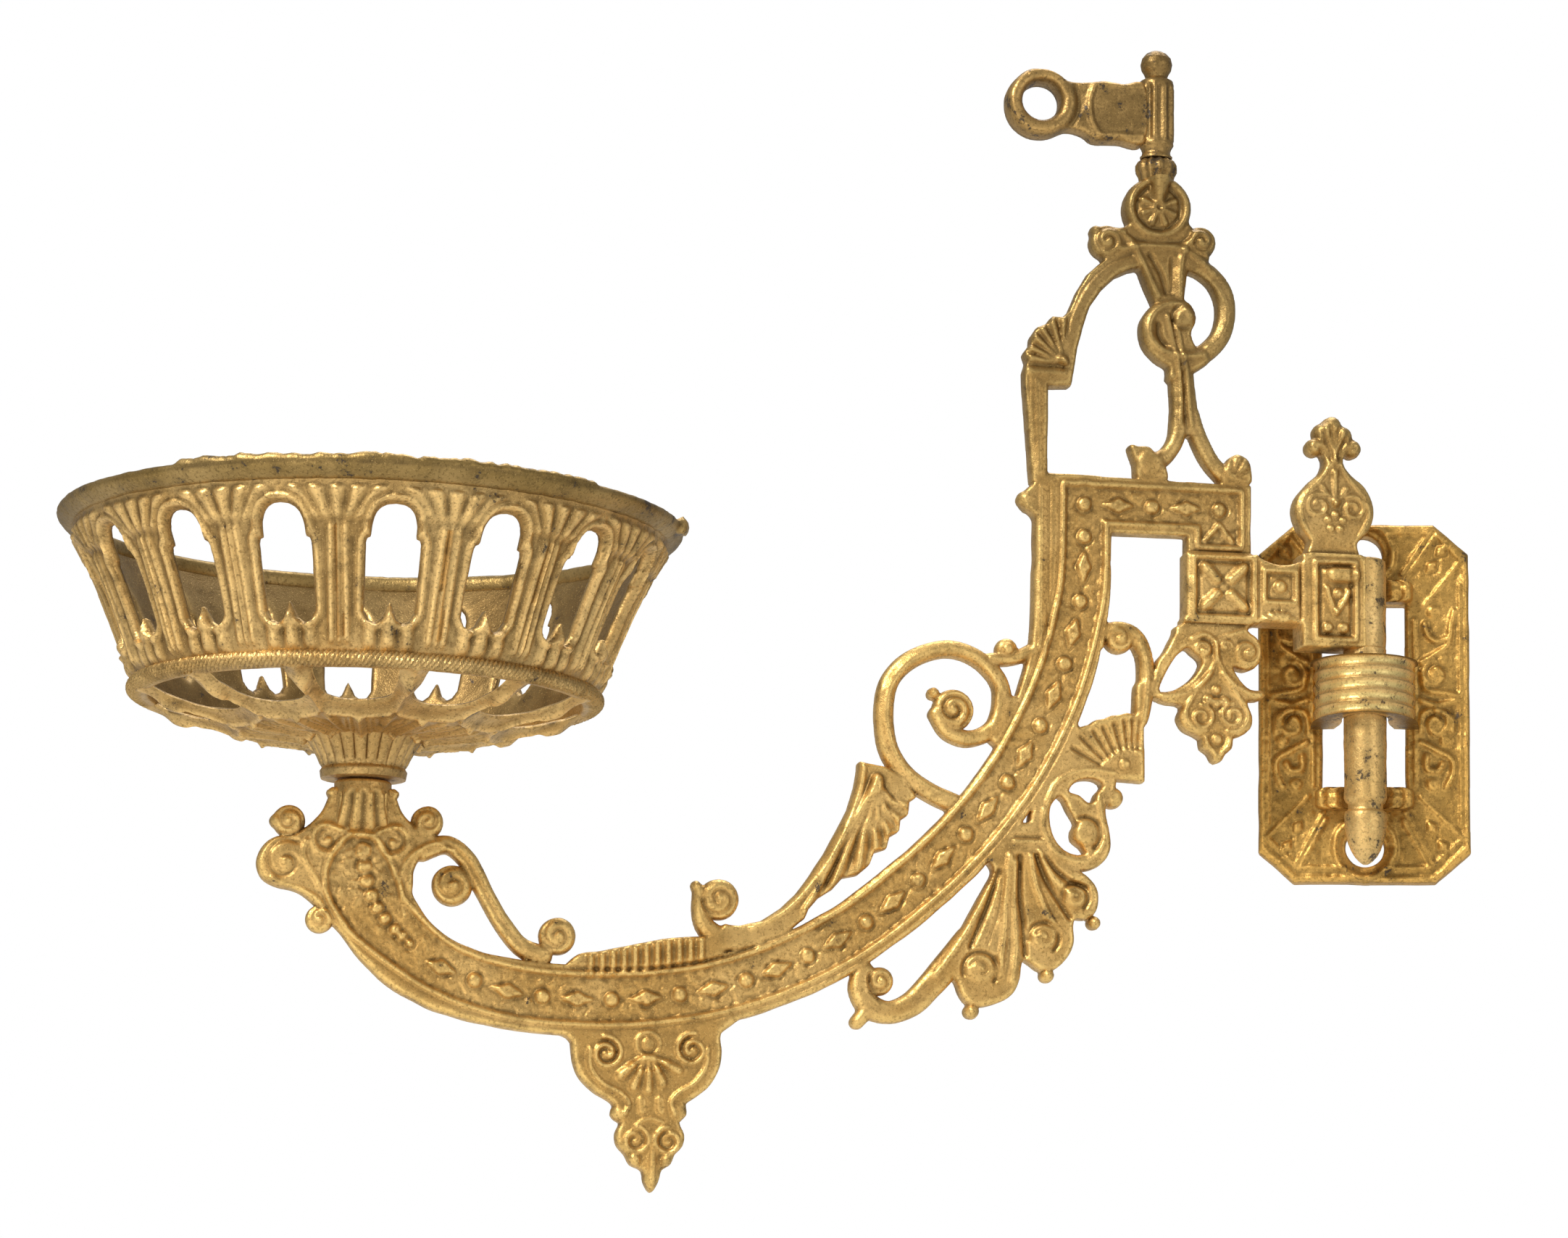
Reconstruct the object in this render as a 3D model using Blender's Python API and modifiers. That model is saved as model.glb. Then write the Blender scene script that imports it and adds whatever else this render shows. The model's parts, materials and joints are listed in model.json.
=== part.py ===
"""Swing-arm lamp bracket: wall plate, swinging arm, font cup and reflector holder.

Blender 4.5, metres, +Z up. The origin is the centre of the wall plate's back face, the wall
lies at +Y and the arm reaches out to -X. All sizes below are in millimetres.
The arm is drawn in its own flat frame, x along the arm with the hinge spindle at 0 and z up.
An empty on the spindle's axis then swings it out from the wall plate.
"""

import math

import bmesh
import bpy

MM = 0.001
GAP = 0.3  # clearance between neighbouring pieces

# Wall plate
PLATE_HALF_W = 24.0
PLATE_HALF_H = 41.3
PLATE_CHAMFER_X = 8.0
PLATE_CHAMFER_Z = 7.0
PLATE_FRONT_Y = -5.5
WINDOW_HALF_W = 9.4
WINDOW_Z = (-20.0, 22.7)
SCREW_HOLE_R = 4.4
SCREW_HOLE_Z = (-33.2, 34.2)

# Hinge
SPINDLE_Y = -15.0
SPINDLE_R = 4.9
STRAP_HALF_W = 11.3
STRAP_Z = (-5.0, 8.2)
STRAP_WALL = 2.8
LUG_FRONT_Y = -9.4
ARM_SWING = math.radians(14.5)

# Arm casting
ARM_HALF_T = 3.0
HINGE_BLOCK_HALF_D = 5.0
BLOCK_Z = (9.8, 31.2)

# Font cup
CUP_X = -224.0
CUP_BASE_Z = -28.0
RING_Z = -9.5
RIM_Z = 27.6
RIM_R = 68.5
ARCHES = 16
LOBES = 12
ARCH_OFFSET = math.radians(1.5)
LOBE_OFFSET = math.radians(-6.0)

# Reflector holder
WHEEL_X = -48.5
WHEEL_Z = 109.8
SWIVEL_Z = 121.6

GOLD = (0.55, 0.36, 0.10, 1.0)
WORN_IRON = (0.16, 0.13, 0.10, 1.0)


# Scene and collections


def clear_scene():
    for old in list(bpy.data.objects):
        bpy.data.objects.remove(old, do_unlink=True)


def new_collection(name):
    collection = bpy.data.collections.new(name)
    bpy.context.scene.collection.children.link(collection)
    return collection


def metal(name, colour, roughness):
    material = bpy.data.materials.new(name)
    material.use_nodes = True
    shader = material.node_tree.nodes["Principled BSDF"]
    shader.inputs["Base Color"].default_value = colour
    shader.inputs["Metallic"].default_value = 0.8
    shader.inputs["Roughness"].default_value = roughness
    return material


clear_scene()
PARTS = new_collection("lamp_bracket")
CUTTERS = new_collection("cutters")
GOLD_PAINT = metal("gold_paint", GOLD, 0.5)
STEEL = metal("dark_steel", WORN_IRON, 0.4)


def axis_empty(name, x, y, z, turn=0.0, parent=None):
    empty = bpy.data.objects.new(name, None)
    PARTS.objects.link(empty)
    empty.location = (x * MM, y * MM, z * MM)
    empty.rotation_euler = (0.0, 0.0, turn)
    empty.parent = parent
    return empty


ARM_PIVOT = axis_empty("arm_pivot", 0, SPINDLE_Y, 0, ARM_SWING)
CUP_PIVOT = axis_empty("cup_pivot", CUP_X, 0, 0, 0.0, ARM_PIVOT)
REFLECTOR_PIVOT = axis_empty("reflector_pivot", WHEEL_X, 0, 0, 0.0, ARM_PIVOT)
bpy.context.view_layer.update()


# Outlines


def smooth_path(points, step=2.2, closed=False):
    """A Catmull-Rom curve through the points, each a tuple of x, z and any further values."""
    count = len(points)
    spans = count if closed else count - 1
    path = []
    for i in range(spans):
        if closed:
            near = [points[(i + k - 1) % count] for k in range(4)]
        else:
            near = [points[min(max(i + k - 1, 0), count - 1)] for k in range(4)]
        pieces = max(1, round(math.dist(near[1][:2], near[2][:2]) / step))
        for j in range(pieces):
            t = j / pieces
            a = -0.5 * t + t * t - 0.5 * t**3
            b = 1 - 2.5 * t * t + 1.5 * t**3
            c = 0.5 * t + 2 * t * t - 1.5 * t**3
            d = -0.5 * t * t + 0.5 * t**3
            path.append(tuple(a * p + b * q + c * r + d * s for p, q, r, s in zip(*near)))
    if not closed:
        path.append(tuple(points[-1]))
    return path


def arc(cx, cz, radius, start, end, count):
    """Points on an arc, with its angles in degrees, anticlockwise from +x."""
    turn = [math.radians(start + (end - start) * i / (count - 1)) for i in range(count)]
    return [(cx + radius * math.cos(a), cz + radius * math.sin(a)) for a in turn]


def disc(cx, cz, radius, count=20):
    return arc(cx, cz, radius, 0, 360 - 360 / count, count)


def box_outline(x0, z0, x1, z1):
    return [(x0, z0), (x1, z0), (x1, z1), (x0, z1)]


def ribbon(points, grow=0.0, step=2.2, round_ends=True):
    """The outline of a strip along a curve: each point is x, z and the half width there."""
    path = smooth_path(points, step)
    left, right = [], []
    for i, (x, z, half) in enumerate(path):
        before = path[max(i - 1, 0)]
        after = path[min(i + 1, len(path) - 1)]
        dx, dz = after[0] - before[0], after[1] - before[1]
        length = math.hypot(dx, dz)
        nx, nz = -dz / length, dx / length
        reach = half + grow
        left.append((x + nx * reach, z + nz * reach))
        right.append((x - nx * reach, z - nz * reach))
    if not round_ends:
        return left + right[::-1]
    ends = []
    for (x, z, half), edge in ((path[-1], left[-1]), (path[0], right[0])):
        first = math.degrees(math.atan2(edge[1] - z, edge[0] - x))
        ends.append(arc(x, z, half + grow, first, first - 180, 7)[1:-1])
    return left + ends[0] + right[::-1] + ends[1]


# Solids


def finish(obj, material, parent):
    obj.data.materials.clear()
    obj.data.materials.append(material)
    for polygon in obj.data.polygons:
        polygon.use_smooth = True
    obj.data.set_sharp_from_angle(angle=math.radians(35))
    obj.parent = parent
    return obj


def slab(name, outline, y0=-ARM_HALF_T, y1=ARM_HALF_T):
    """A flat outline in x and z, as a solid from y0 to y1."""
    curve = bpy.data.curves.new(name, "CURVE")
    curve.dimensions = "2D"
    curve.fill_mode = "BOTH"
    curve.extrude = (y1 - y0) / 2 * MM
    spline = curve.splines.new("POLY")
    spline.points.add(len(outline) - 1)
    for point, (x, z) in zip(spline.points, outline):
        point.co = (x * MM, z * MM, 0.0, 1.0)
    spline.use_cyclic_u = True
    drawn = bpy.data.objects.new(name + "_outline", curve)
    CUTTERS.objects.link(drawn)
    bpy.context.view_layer.update()
    graph = bpy.context.evaluated_depsgraph_get()
    mesh = bpy.data.meshes.new_from_object(drawn.evaluated_get(graph))
    bpy.data.objects.remove(drawn, do_unlink=True)
    work = bmesh.new()
    work.from_mesh(mesh)
    bmesh.ops.remove_doubles(work, verts=work.verts, dist=1e-6)
    for vertex in work.verts:
        x, z, depth = vertex.co
        vertex.co = (x, (y0 + y1) / 2 * MM - depth, z)
    bmesh.ops.recalc_face_normals(work, faces=work.faces)
    work.to_mesh(mesh)
    work.free()
    mesh.name = name
    obj = bpy.data.objects.new(name, mesh)
    PARTS.objects.link(obj)
    return obj


def turned(name, profile, steps=32):
    """A turned solid about its own Z axis: the profile holds r and z, from the top down."""
    mesh = bpy.data.meshes.new(name)
    mesh.from_pydata(
        [(r * MM, 0.0, z * MM) for r, z in profile],
        [(i, i + 1) for i in range(len(profile) - 1)],
        [],
    )
    obj = bpy.data.objects.new(name, mesh)
    PARTS.objects.link(obj)
    screw = obj.modifiers.new("turn", "SCREW")
    screw.axis = "Z"
    screw.steps = steps
    screw.render_steps = steps
    screw.use_merge_vertices = True
    screw.merge_threshold = 1e-6
    screw.use_normal_calculate = True
    bpy.context.view_layer.update()
    graph = bpy.context.evaluated_depsgraph_get()
    solid = bpy.data.meshes.new_from_object(obj.evaluated_get(graph))
    obj.modifiers.clear()
    obj.data = solid
    work = bmesh.new()
    work.from_mesh(solid)
    bmesh.ops.remove_doubles(work, verts=work.verts, dist=1e-6)
    bmesh.ops.recalc_face_normals(work, faces=work.faces)
    work.to_mesh(solid)
    work.free()
    return obj


def turned_ring(name, profile, steps=48):
    """A turned ring: the profile is a closed section of r and z."""
    return turned(name, profile + profile[:1], steps)


def combine(obj, other, operation):
    """Joins another solid to this one, or cuts it away, and removes the other."""
    for solid in (obj, other):
        solid.data.update()
    modifier = obj.modifiers.new(operation.lower(), "BOOLEAN")
    modifier.operation = operation
    modifier.solver = "EXACT"
    modifier.object = other
    bpy.context.view_layer.update()
    graph = bpy.context.evaluated_depsgraph_get()
    mesh = bpy.data.meshes.new_from_object(obj.evaluated_get(graph))
    obj.modifiers.clear()
    obj.data = mesh
    bpy.data.objects.remove(other, do_unlink=True)
    return obj


def cut(obj, other):
    return combine(obj, other, "DIFFERENCE")


def join(obj, other):
    return combine(obj, other, "UNION")


def joined_slabs(name, outlines, half_t=ARM_HALF_T):
    """One casting from overlapping outlines. Each is made a little thinner than the last."""
    obj = slab(name, outlines[0], -half_t, half_t)
    for i, outline in enumerate(outlines[1:], 1):
        thin = half_t - 0.05 * i
        join(obj, slab(f"{name}_{i}", outline, -thin, thin))
    return obj


# Wall plate casting


def octagon(inset=0.0):
    w = PLATE_HALF_W - inset
    h = PLATE_HALF_H - inset
    cx = PLATE_CHAMFER_X - 0.5 * inset
    cz = PLATE_CHAMFER_Z - 0.5 * inset
    corner = [(w, h - cz), (w - cx, h), (cx - w, h), (-w, h - cz)]
    return corner + [(-x, -z) for x, z in corner]


def wall_plate():
    plate = slab("wall_plate", octagon(), PLATE_FRONT_Y, 0.0)
    window = box_outline(-WINDOW_HALF_W, WINDOW_Z[0], WINDOW_HALF_W, WINDOW_Z[1])
    cut(plate, slab("window_cutter", window, PLATE_FRONT_Y - 2, 2.0))
    for z in SCREW_HOLE_Z:
        hole = disc(0.0, z, SCREW_HOLE_R)
        cut(plate, slab("hole_cutter", hole, PLATE_FRONT_Y - 2, 2.0))
    finish(plate, GOLD_PAINT, None)


def level_arch(name, outline, z0, z1):
    """A solid whose outline lies in x and y, from z0 up to z1."""
    obj = slab(name, outline, -z1, -z0)
    for vertex in obj.data.vertices:
        x, depth, y = vertex.co
        vertex.co = (x, y, -depth)
    return obj


def spindle_strap():
    """The band round the front of the spindle, with a foot on each side of the window."""
    back = PLATE_FRONT_Y - GAP
    crest = SPINDLE_R + GAP + STRAP_WALL
    outer = [(STRAP_HALF_W, back), (STRAP_HALF_W, back - 4.0)]
    outer += [
        (STRAP_HALF_W * math.cos(a), SPINDLE_Y + 5.0 - (crest + 5.0) * math.sin(a))
        for a in [math.radians(15 + 150 * i / 12) for i in range(13)]
    ]
    outer += [(-STRAP_HALF_W, back - 4.0), (-STRAP_HALF_W, back)]
    bore = SPINDLE_R + GAP
    inner = [(-bore - 1.6, back)]
    inner += [(-x, y) for x, y in arc(0.0, SPINDLE_Y, bore, 0, -180, 13)]
    inner += [(bore + 1.6, back)]
    strap = level_arch("spindle_strap", outer + inner, *STRAP_Z)
    finish(strap, GOLD_PAINT, None)


def plate_lug(name, z0, z1):
    """A rest behind the spindle, hollowed to its curve."""
    back = PLATE_FRONT_Y - GAP
    tip = LUG_FRONT_Y
    half = [(4.6, tip + 1.6), (6.2, tip), (10.0, tip), (11.0, tip + 1.0), (11.0, back)]
    shape = half + [(-x, y) for x, y in half[::-1]]
    finish(level_arch(name, shape, z0, z1), GOLD_PAINT, None)


# Arm casting, in the arm's own frame

BAND = [
    (-220.4, -56.8, 8.7),
    (-212.8, -66.0, 8.0),
    (-201.5, -71.4, 7.3),
    (-184.5, -74.0, 7.3),
    (-167.0, -74.0, 7.3),
    (-150.0, -72.0, 7.3),
    (-133.0, -66.8, 7.2),
    (-117.0, -58.4, 7.1),
    (-99.5, -44.3, 7.1),
    (-87.5, -31.5, 7.1),
    (-78.5, -18.5, 7.1),
    (-73.5, -7.2, 7.4),
    (-69.8, 5.0, 7.8),
    (-68.0, 16.0, 8.1),
]


def main_band():
    band = slab("main_band", ribbon(BAND, round_ends=False))
    on_arm(trim(band, box_outline(-90.0, 14.3 - GAP, -50.0, 20.0)))


def trim(obj, *outlines):
    """Cuts the room that each neighbour needs out of a piece of the arm."""
    for outline in outlines:
        cut(obj, slab("trim_cutter", outline, -12.0, 12.0))
    return obj


def band_room():
    longer = [(-223.6, -51.8, 8.7)] + BAND[1:-1] + [(-67.8, 17.0, 8.1)]
    return ribbon(longer, GAP, round_ends=False)


def on_arm(obj):
    return finish(obj, GOLD_PAINT, ARM_PIVOT)


HEAD = [
    (-231.5, -35.6),
    (-234.5, -37.8),
    (-236.5, -36.4),
    (-238.6, -34.3),
    (-241.8, -34.5),
    (-243.4, -37.4),
    (-241.8, -41.2),
    (-244.8, -42.8),
    (-246.4, -46.2),
    (-245.4, -49.6),
    (-242.4, -51.6),
    (-237.0, -53.0),
    (-234.0, -55.4),
    (-235.6, -57.4),
    (-234.8, -60.2),
    (-232.0, -61.0),
    (-228.6, -60.4),
    (-213.2, -51.2),
    (-213.4, -47.0),
    (-211.6, -43.8),
    (-210.6, -39.4),
    (-207.6, -39.0),
    (-206.5, -36.4),
    (-208.6, -33.4),
    (-212.0, -34.0),
    (-214.0, -37.2),
    (-216.8, -35.6),
]


def arm_head():
    head = trim(slab("arm_head", HEAD), band_room())
    on_arm(head)
    neck = turned(
        "arm_neck",
        [(0, CUP_BASE_Z - GAP), (6.6, CUP_BASE_Z - GAP), (6.9, -31.0), (7.6, -35.3), (0, -35.3)],
    )
    neck.location.x = CUP_X * MM
    on_arm(neck)


def head_scroll():
    stem = [
        (-209.2, -41.8, 1.9),
        (-205.5, -41.2, 1.9),
        (-200.8, -44.6, 1.9),
        (-197.2, -51.0, 1.8),
        (-193.6, -57.2, 1.8),
        (-189.0, -62.8, 1.9),
        (-184.2, -64.6, 2.2),
    ]
    scroll = joined_slabs(
        "head_scroll",
        [ribbon(stem), disc(-203.8, -50.4, 4.5), disc(-181.0, -60.4, 4.0)],
    )
    head_room = box_outline(-216.0, -48.0, -210.3, -36.0)
    curl_room = disc(-209.8, -36.6, 3.6)
    on_arm(trim(scroll, band_room(), head_room, curl_room))


def reeded_strip():
    outline = [(-176.4, -70.0), (-176.4, -64.4), (-165.0, -61.4), (-152.4, -59.8), (-152.4, -70.0)]
    on_arm(trim(slab("reeded_strip", outline), band_room()))


def hook_volute():
    stem = [(-148.2, -62.0, 2.4), (-149.4, -57.0, 1.9), (-149.2, -52.6, 1.9)]
    hook = joined_slabs("hook_volute", [ribbon(stem), disc(-146.2, -51.4, 4.3)])
    on_arm(trim(hook, band_room()))


def wing_leaf():
    outline = [
        (-115.2, -19.8),
        (-111.0, -20.6),
        (-106.6, -24.4),
        (-102.8, -27.6),
        (-104.6, -31.2),
        (-106.8, -35.2),
        (-109.4, -39.2),
        (-113.0, -42.6),
        (-116.6, -45.2),
        (-119.6, -48.2),
        (-124.2, -50.6),
        (-127.4, -55.6),
        (-145.6, -66.0),
        (-145.6, -57.8),
        (-142.0, -56.9),
        (-137.0, -55.8),
        (-131.2, -52.0),
        (-125.8, -45.6),
        (-121.6, -38.0),
        (-118.2, -30.0),
        (-116.0, -23.0),
    ]
    ring_room = ribbon(RING_SCROLL[:6], GAP)
    on_arm(trim(slab("wing_leaf", outline), band_room(), ring_room))


RING_SCROLL = [
    (-91.5, -29.0, 2.2),
    (-96.0, -27.6, 2.1),
    (-101.0, -24.2, 2.0),
    (-106.8, -17.6, 2.0),
    (-109.9, -9.0, 2.0),
    (-108.6, -1.4, 2.0),
    (-103.5, 3.9, 1.9),
    (-96.0, 6.2, 1.9),
    (-89.2, 4.4, 1.9),
    (-84.2, -0.6, 1.9),
    (-83.6, -6.4, 1.9),
    (-86.0, -11.4, 1.9),
    (-91.0, -13.2, 1.9),
    (-95.4, -11.8, 1.9),
]


def ring_scroll():
    curl = disc(-94.8, -7.6, 4.4)
    on_arm(trim(joined_slabs("ring_scroll", [ribbon(RING_SCROLL), curl]), band_room()))


def frame_post():
    outline = [
        (-76.2, 14.3),
        (-60.0, 14.3),
        (-59.3, 24.0),
        (-59.3, 46.7),
        (-74.6, 46.8),
        (-75.6, 43.8),
        (-78.8, 42.9),
        (-80.2, 41.0),
        (-79.2, 39.2),
        (-76.2, 38.0),
    ]
    on_arm(slab("frame_post", outline))


def frame_rail():
    x0 = -59.3 + GAP
    outline = [(x0, 46.6), (x0, 34.4), (-41.4, 34.2), (-41.2, 30.7), (-27.2, 30.7), (-27.0, 46.2)]
    on_arm(slab("frame_rail", outline))


def flower_block():
    on_arm(slab("flower_block", box_outline(-41.6, 14.8, -25.4, 30.3), -4.0, 4.0))
    on_arm(slab("link_neck", box_outline(-25.1, 15.2, -15.9, 29.6), -4.4, 4.4))


def hinge_block():
    z0, z1 = BLOCK_Z
    depth = HINGE_BLOCK_HALF_D
    block = slab("hinge_block", box_outline(-15.6, z0, -1.0, z1), -depth + 0.02, depth - 0.02)
    barrel = turned("barrel", [(0, z1), (depth, z1), (depth, z0), (0, z0)])
    on_arm(join(block, barrel))


def hinge_spindle():
    r = SPINDLE_R
    top = BLOCK_Z[0] - GAP
    profile = [(0, top), (r, top), (r, -23.6), (r - 0.9, -24.6), (r - 0.9, -26.2), (r, -27.4)]
    profile += [(r - 0.3, -31.0), (r - 1.4, -35.0), (r - 3.2, -37.4), (0, -38.4)]
    on_arm(turned("hinge_spindle", profile))


def palmette_finial():
    right = [(5.4, 31.5), (4.6, 34.6), (7.4, 37.0), (9.1, 41.2), (7.4, 46.0), (2.4, 51.2)]
    right += [(2.3, 53.6), (5.9, 54.6), (6.0, 57.2), (3.6, 59.2), (3.2, 61.8), (0.0, 63.6)]
    centre = -7.6
    outline = [(centre + x, z) for x, z in right]
    outline += [(centre - x, z) for x, z in right[-2::-1]]
    on_arm(slab("palmette_finial", outline))


def block_pendant():
    right = [(6.8, 14.5), (10.4, 9.0), (8.0, 5.0), (4.4, 5.6), (5.0, 2.4), (11.4, -0.4)]
    right += [(10.8, -2.0), (7.0, -2.6), (8.2, -6.0), (7.0, -9.4), (3.8, -11.0), (3.4, -13.6)]
    right += [(1.2, -16.6)]
    centre = -34.9
    left = [(6.2, 14.5), (5.4, 9.0), (4.2, 5.6)] + right[4:]
    outline = [(centre + x, z) for x, z in right]
    outline += [(centre - x, z) for x, z in left[::-1]]
    on_arm(slab("block_pendant", outline))


STEM_SCROLL = [
    (-59.2, 11.2, 1.9),
    (-56.4, 11.2, 2.9),
    (-53.4, 11.2, 2.2),
    (-51.0, 7.4, 1.8),
    (-50.2, 2.0, 1.8),
    (-50.8, -3.0, 1.8),
    (-51.6, -5.0, 1.8),
]


def stem_scroll():
    stem = slab("stem_scroll", ribbon(STEM_SCROLL))
    post_room = box_outline(-64.0, 8.0, -59.6, 17.0)
    on_arm(trim(stem, band_room(), post_room))
    hook = [(-48.6, 1.0, 1.5), (-47.0, 5.4, 1.5), (-44.2, 9.8, 1.5), (-43.0, 12.6, 1.5)]
    link = slab("pendant_link", ribbon(hook))
    stem_room = ribbon(STEM_SCROLL, GAP)
    pendant_room = [(-45.8, 14.4), (-45.0, 17.0), (-38.0, 17.0), (-38.0, 14.4)]
    on_arm(trim(link, stem_room, pendant_room))


def pleated_fan():
    outline = [(-62.0, -8.8), (-58.0, -7.9), (-54.0, -7.3), (-51.2, -7.3), (-51.4, -21.9)]
    outline += [(-59.0, -22.2), (-66.0, -20.8), (-75.0, -26.0), (-80.0, -18.0), (-66.0, -8.0)]
    fan = slab("pleated_fan", outline)
    on_arm(trim(fan, band_room()))


LOOP_CURL = [
    (-79.0, -30.0, 2.2),
    (-74.8, -35.0, 2.0),
    (-71.0, -38.8, 1.8),
    (-65.6, -40.4, 1.8),
    (-61.0, -37.4, 1.8),
    (-60.0, -32.0, 1.8),
    (-60.9, -26.8, 1.8),
    (-59.6, -24.4, 1.9),
]


def loop_curl():
    loop = joined_slabs("loop_curl", [ribbon(LOOP_CURL), disc(-64.2, -33.8, 3.3)])
    on_arm(trim(loop, band_room()))


PALMETTE = [
    (-86.2, -42.0),
    (-89.0, -51.0),
    (-94.0, -60.0),
    (-93.6, -66.8),
    (-91.4, -72.0),
    (-91.0, -74.4),
    (-89.0, -75.4),
    (-87.6, -73.2),
    (-84.0, -72.2),
    (-80.4, -69.6),
    (-78.6, -65.0),
    (-77.8, -62.4),
    (-75.4, -63.6),
    (-74.0, -66.2),
    (-72.4, -66.8),
    (-71.0, -64.4),
    (-68.4, -62.2),
    (-67.0, -58.0),
    (-67.6, -53.4),
    (-64.0, -53.0),
    (-62.2, -54.6),
    (-60.9, -53.2),
    (-61.6, -50.4),
    (-61.6, -46.8),
    (-64.0, -44.2),
    (-71.5, -41.6),
    (-76.2, -37.6),
    (-79.0, -33.0),
    (-88.0, -36.0),
]


def lower_palmette():
    loop_room = ribbon(LOOP_CURL, GAP)
    on_arm(trim(slab("lower_palmette", PALMETTE), band_room(), loop_room))
    stem = [
        (-96.4, -61.4, 2.2),
        (-98.6, -65.6, 2.3),
        (-102.6, -70.4, 2.3),
        (-108.0, -74.0, 2.4),
        (-112.8, -73.6, 2.6),
        (-114.2, -69.6, 2.6),
        (-113.4, -65.6, 2.6),
    ]
    nib = [(-113.2, -74.6, 1.7), (-115.0, -77.2, 1.7)]
    tail = joined_slabs("tail_scroll", [ribbon(stem), disc(-110.4, -68.4, 3.2), ribbon(nib)])
    palmette_room = [(-86.5, -42.0), (-89.3, -51.0), (-94.3, -59.8), (-93.9, -67.0)]
    palmette_room += [(-88.0, -67.0), (-84.0, -42.0)]
    on_arm(trim(tail, band_room(), palmette_room))


def lower_pendant():
    right = [(15.8, -78.0), (15.6, -86.0), (13.8, -90.6), (8.4, -94.8), (8.2, -98.2), (6.4, -99.8)]
    right += [(7.4, -103.4), (6.2, -106.8), (4.2, -109.6), (2.0, -110.4), (1.4, -113.4)]
    right += [(0.4, -115.2)]
    centre = -160.4
    outline = [(centre + x, z) for x, z in right]
    outline += [(centre - x, z) for x, z in right[::-1]]
    on_arm(trim(slab("lower_pendant", outline), band_room()))


def upper_strut():
    outline = [
        (-73.6, 47.1),
        (-73.6, 67.2),
        (-68.0, 67.4),
        (-67.4, 75.0),
        (-65.8, 82.0),
        (-63.4, 87.0),
        (-59.2, 91.8),
        (-55.6, 94.6),
        (-55.6, 99.0),
        (-61.0, 96.6),
        (-64.8, 93.4),
        (-67.2, 89.6),
        (-69.4, 84.0),
        (-73.2, 83.0),
        (-76.2, 80.6),
        (-78.2, 78.2),
        (-79.2, 74.6),
        (-79.2, 69.0),
        (-78.2, 56.0),
        (-77.4, 47.1),
    ]
    on_arm(slab("upper_strut", outline))


def upper_loop():
    stem = [
        (-49.6, 93.2, 2.2),
        (-47.4, 89.4, 2.6),
        (-46.6, 84.8, 4.0),
        (-46.4, 80.6, 4.8),
        (-44.6, 76.0, 2.9),
        (-42.8, 70.4, 2.3),
        (-42.4, 63.0, 2.5),
        (-44.0, 56.4, 2.1),
        (-47.4, 51.8, 2.2),
        (-50.4, 50.4, 3.2),
    ]
    ring = [(-43.0, 96.4, 2.2), (-37.0, 94.8, 2.1), (-33.2, 90.4, 2.2), (-32.6, 84.6, 2.2)]
    ring += [(-35.2, 78.6, 2.2), (-40.0, 75.4, 2.2), (-44.0, 76.6, 2.2)]
    leg = [(-41.8, 64.0, 2.0), (-39.8, 58.0, 1.7), (-36.0, 52.6, 1.7), (-31.2, 50.2, 3.0)]
    loop = joined_slabs("upper_loop", [ribbon(stem), ribbon(ring), ribbon(leg)])
    rail_room = box_outline(-60.0, 40.0, -20.0, 46.9)
    crown_room = box_outline(-60.0, 94.0, -20.0, 102.0)
    on_arm(trim(loop, rail_room, crown_room))


def top_wheel():
    base = [(-55.3, 94.3), (-40.0, 94.3), (-36.0, 98.0), (-41.0, 105.5), (-56.0, 105.5)]
    base += [(-59.0, 100.0), (-55.3, 99.4)]
    wheel = joined_slabs(
        "top_wheel",
        [base, disc(WHEEL_X, WHEEL_Z, 7.7, 28), disc(-60.0, 101.4, 3.8), disc(-38.4, 102.2, 3.6)],
    )
    strut_room = [(-62.4, 97.6), (-55.4, 99.4), (-55.2, 90.0), (-66.0, 90.0)]
    on_arm(trim(wheel, strut_room))


def pin_boss():
    """The socket on top of the wheel that holds the reflector holder's peg."""
    low = WHEEL_Z + 7.7 + GAP
    section = [(1.8, 121.3), (3.2, 121.3), (4.0, 119.6), (3.6, low), (1.8, low)]
    boss = turned_ring("pin_boss", section, 24)
    boss.location.x = WHEEL_X * MM
    on_arm(boss)


def reflector_peg():
    peg = turned("reflector_peg", [(0, 131.0), (1.5, 131.0), (1.5, 117.9), (0, 117.9)], 24)
    peg.location.x = WHEEL_X * MM
    finish(peg, STEEL, ARM_PIVOT)


# Font cup, about its own axis


def arcade_radius(z):
    """The flare of the cup's wall from the rope ring up to the rim."""
    t = (z - RING_Z) / (RIM_Z - RING_Z)
    return 51.0 + 8.0 * t + 7.4 * t**3


def radial_cutter(name, outline, angle):
    """A cutter right across the cup, with its outline square to its length."""
    obj = slab(name, outline, -90.0, 90.0)
    obj.rotation_euler.z = angle
    return obj


def quarters(whole, turn):
    """Four nodes from one ring, with a gap where each meets the next."""
    near, far = GAP / 2, 90.0
    for i in range(4):
        wedge = level_arch("wedge", box_outline(near, near, far, far), -60.0, 60.0)
        wedge.rotation_euler.z = turn + math.pi / 2 * i
        quarter = whole.copy()
        quarter.data = whole.data.copy()
        quarter.name = f"{whole.name}_{i + 1}"
        PARTS.objects.link(quarter)
        finish(combine(quarter, wedge, "INTERSECT"), GOLD_PAINT, CUP_PIVOT)
    bpy.data.objects.remove(whole, do_unlink=True)


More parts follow.
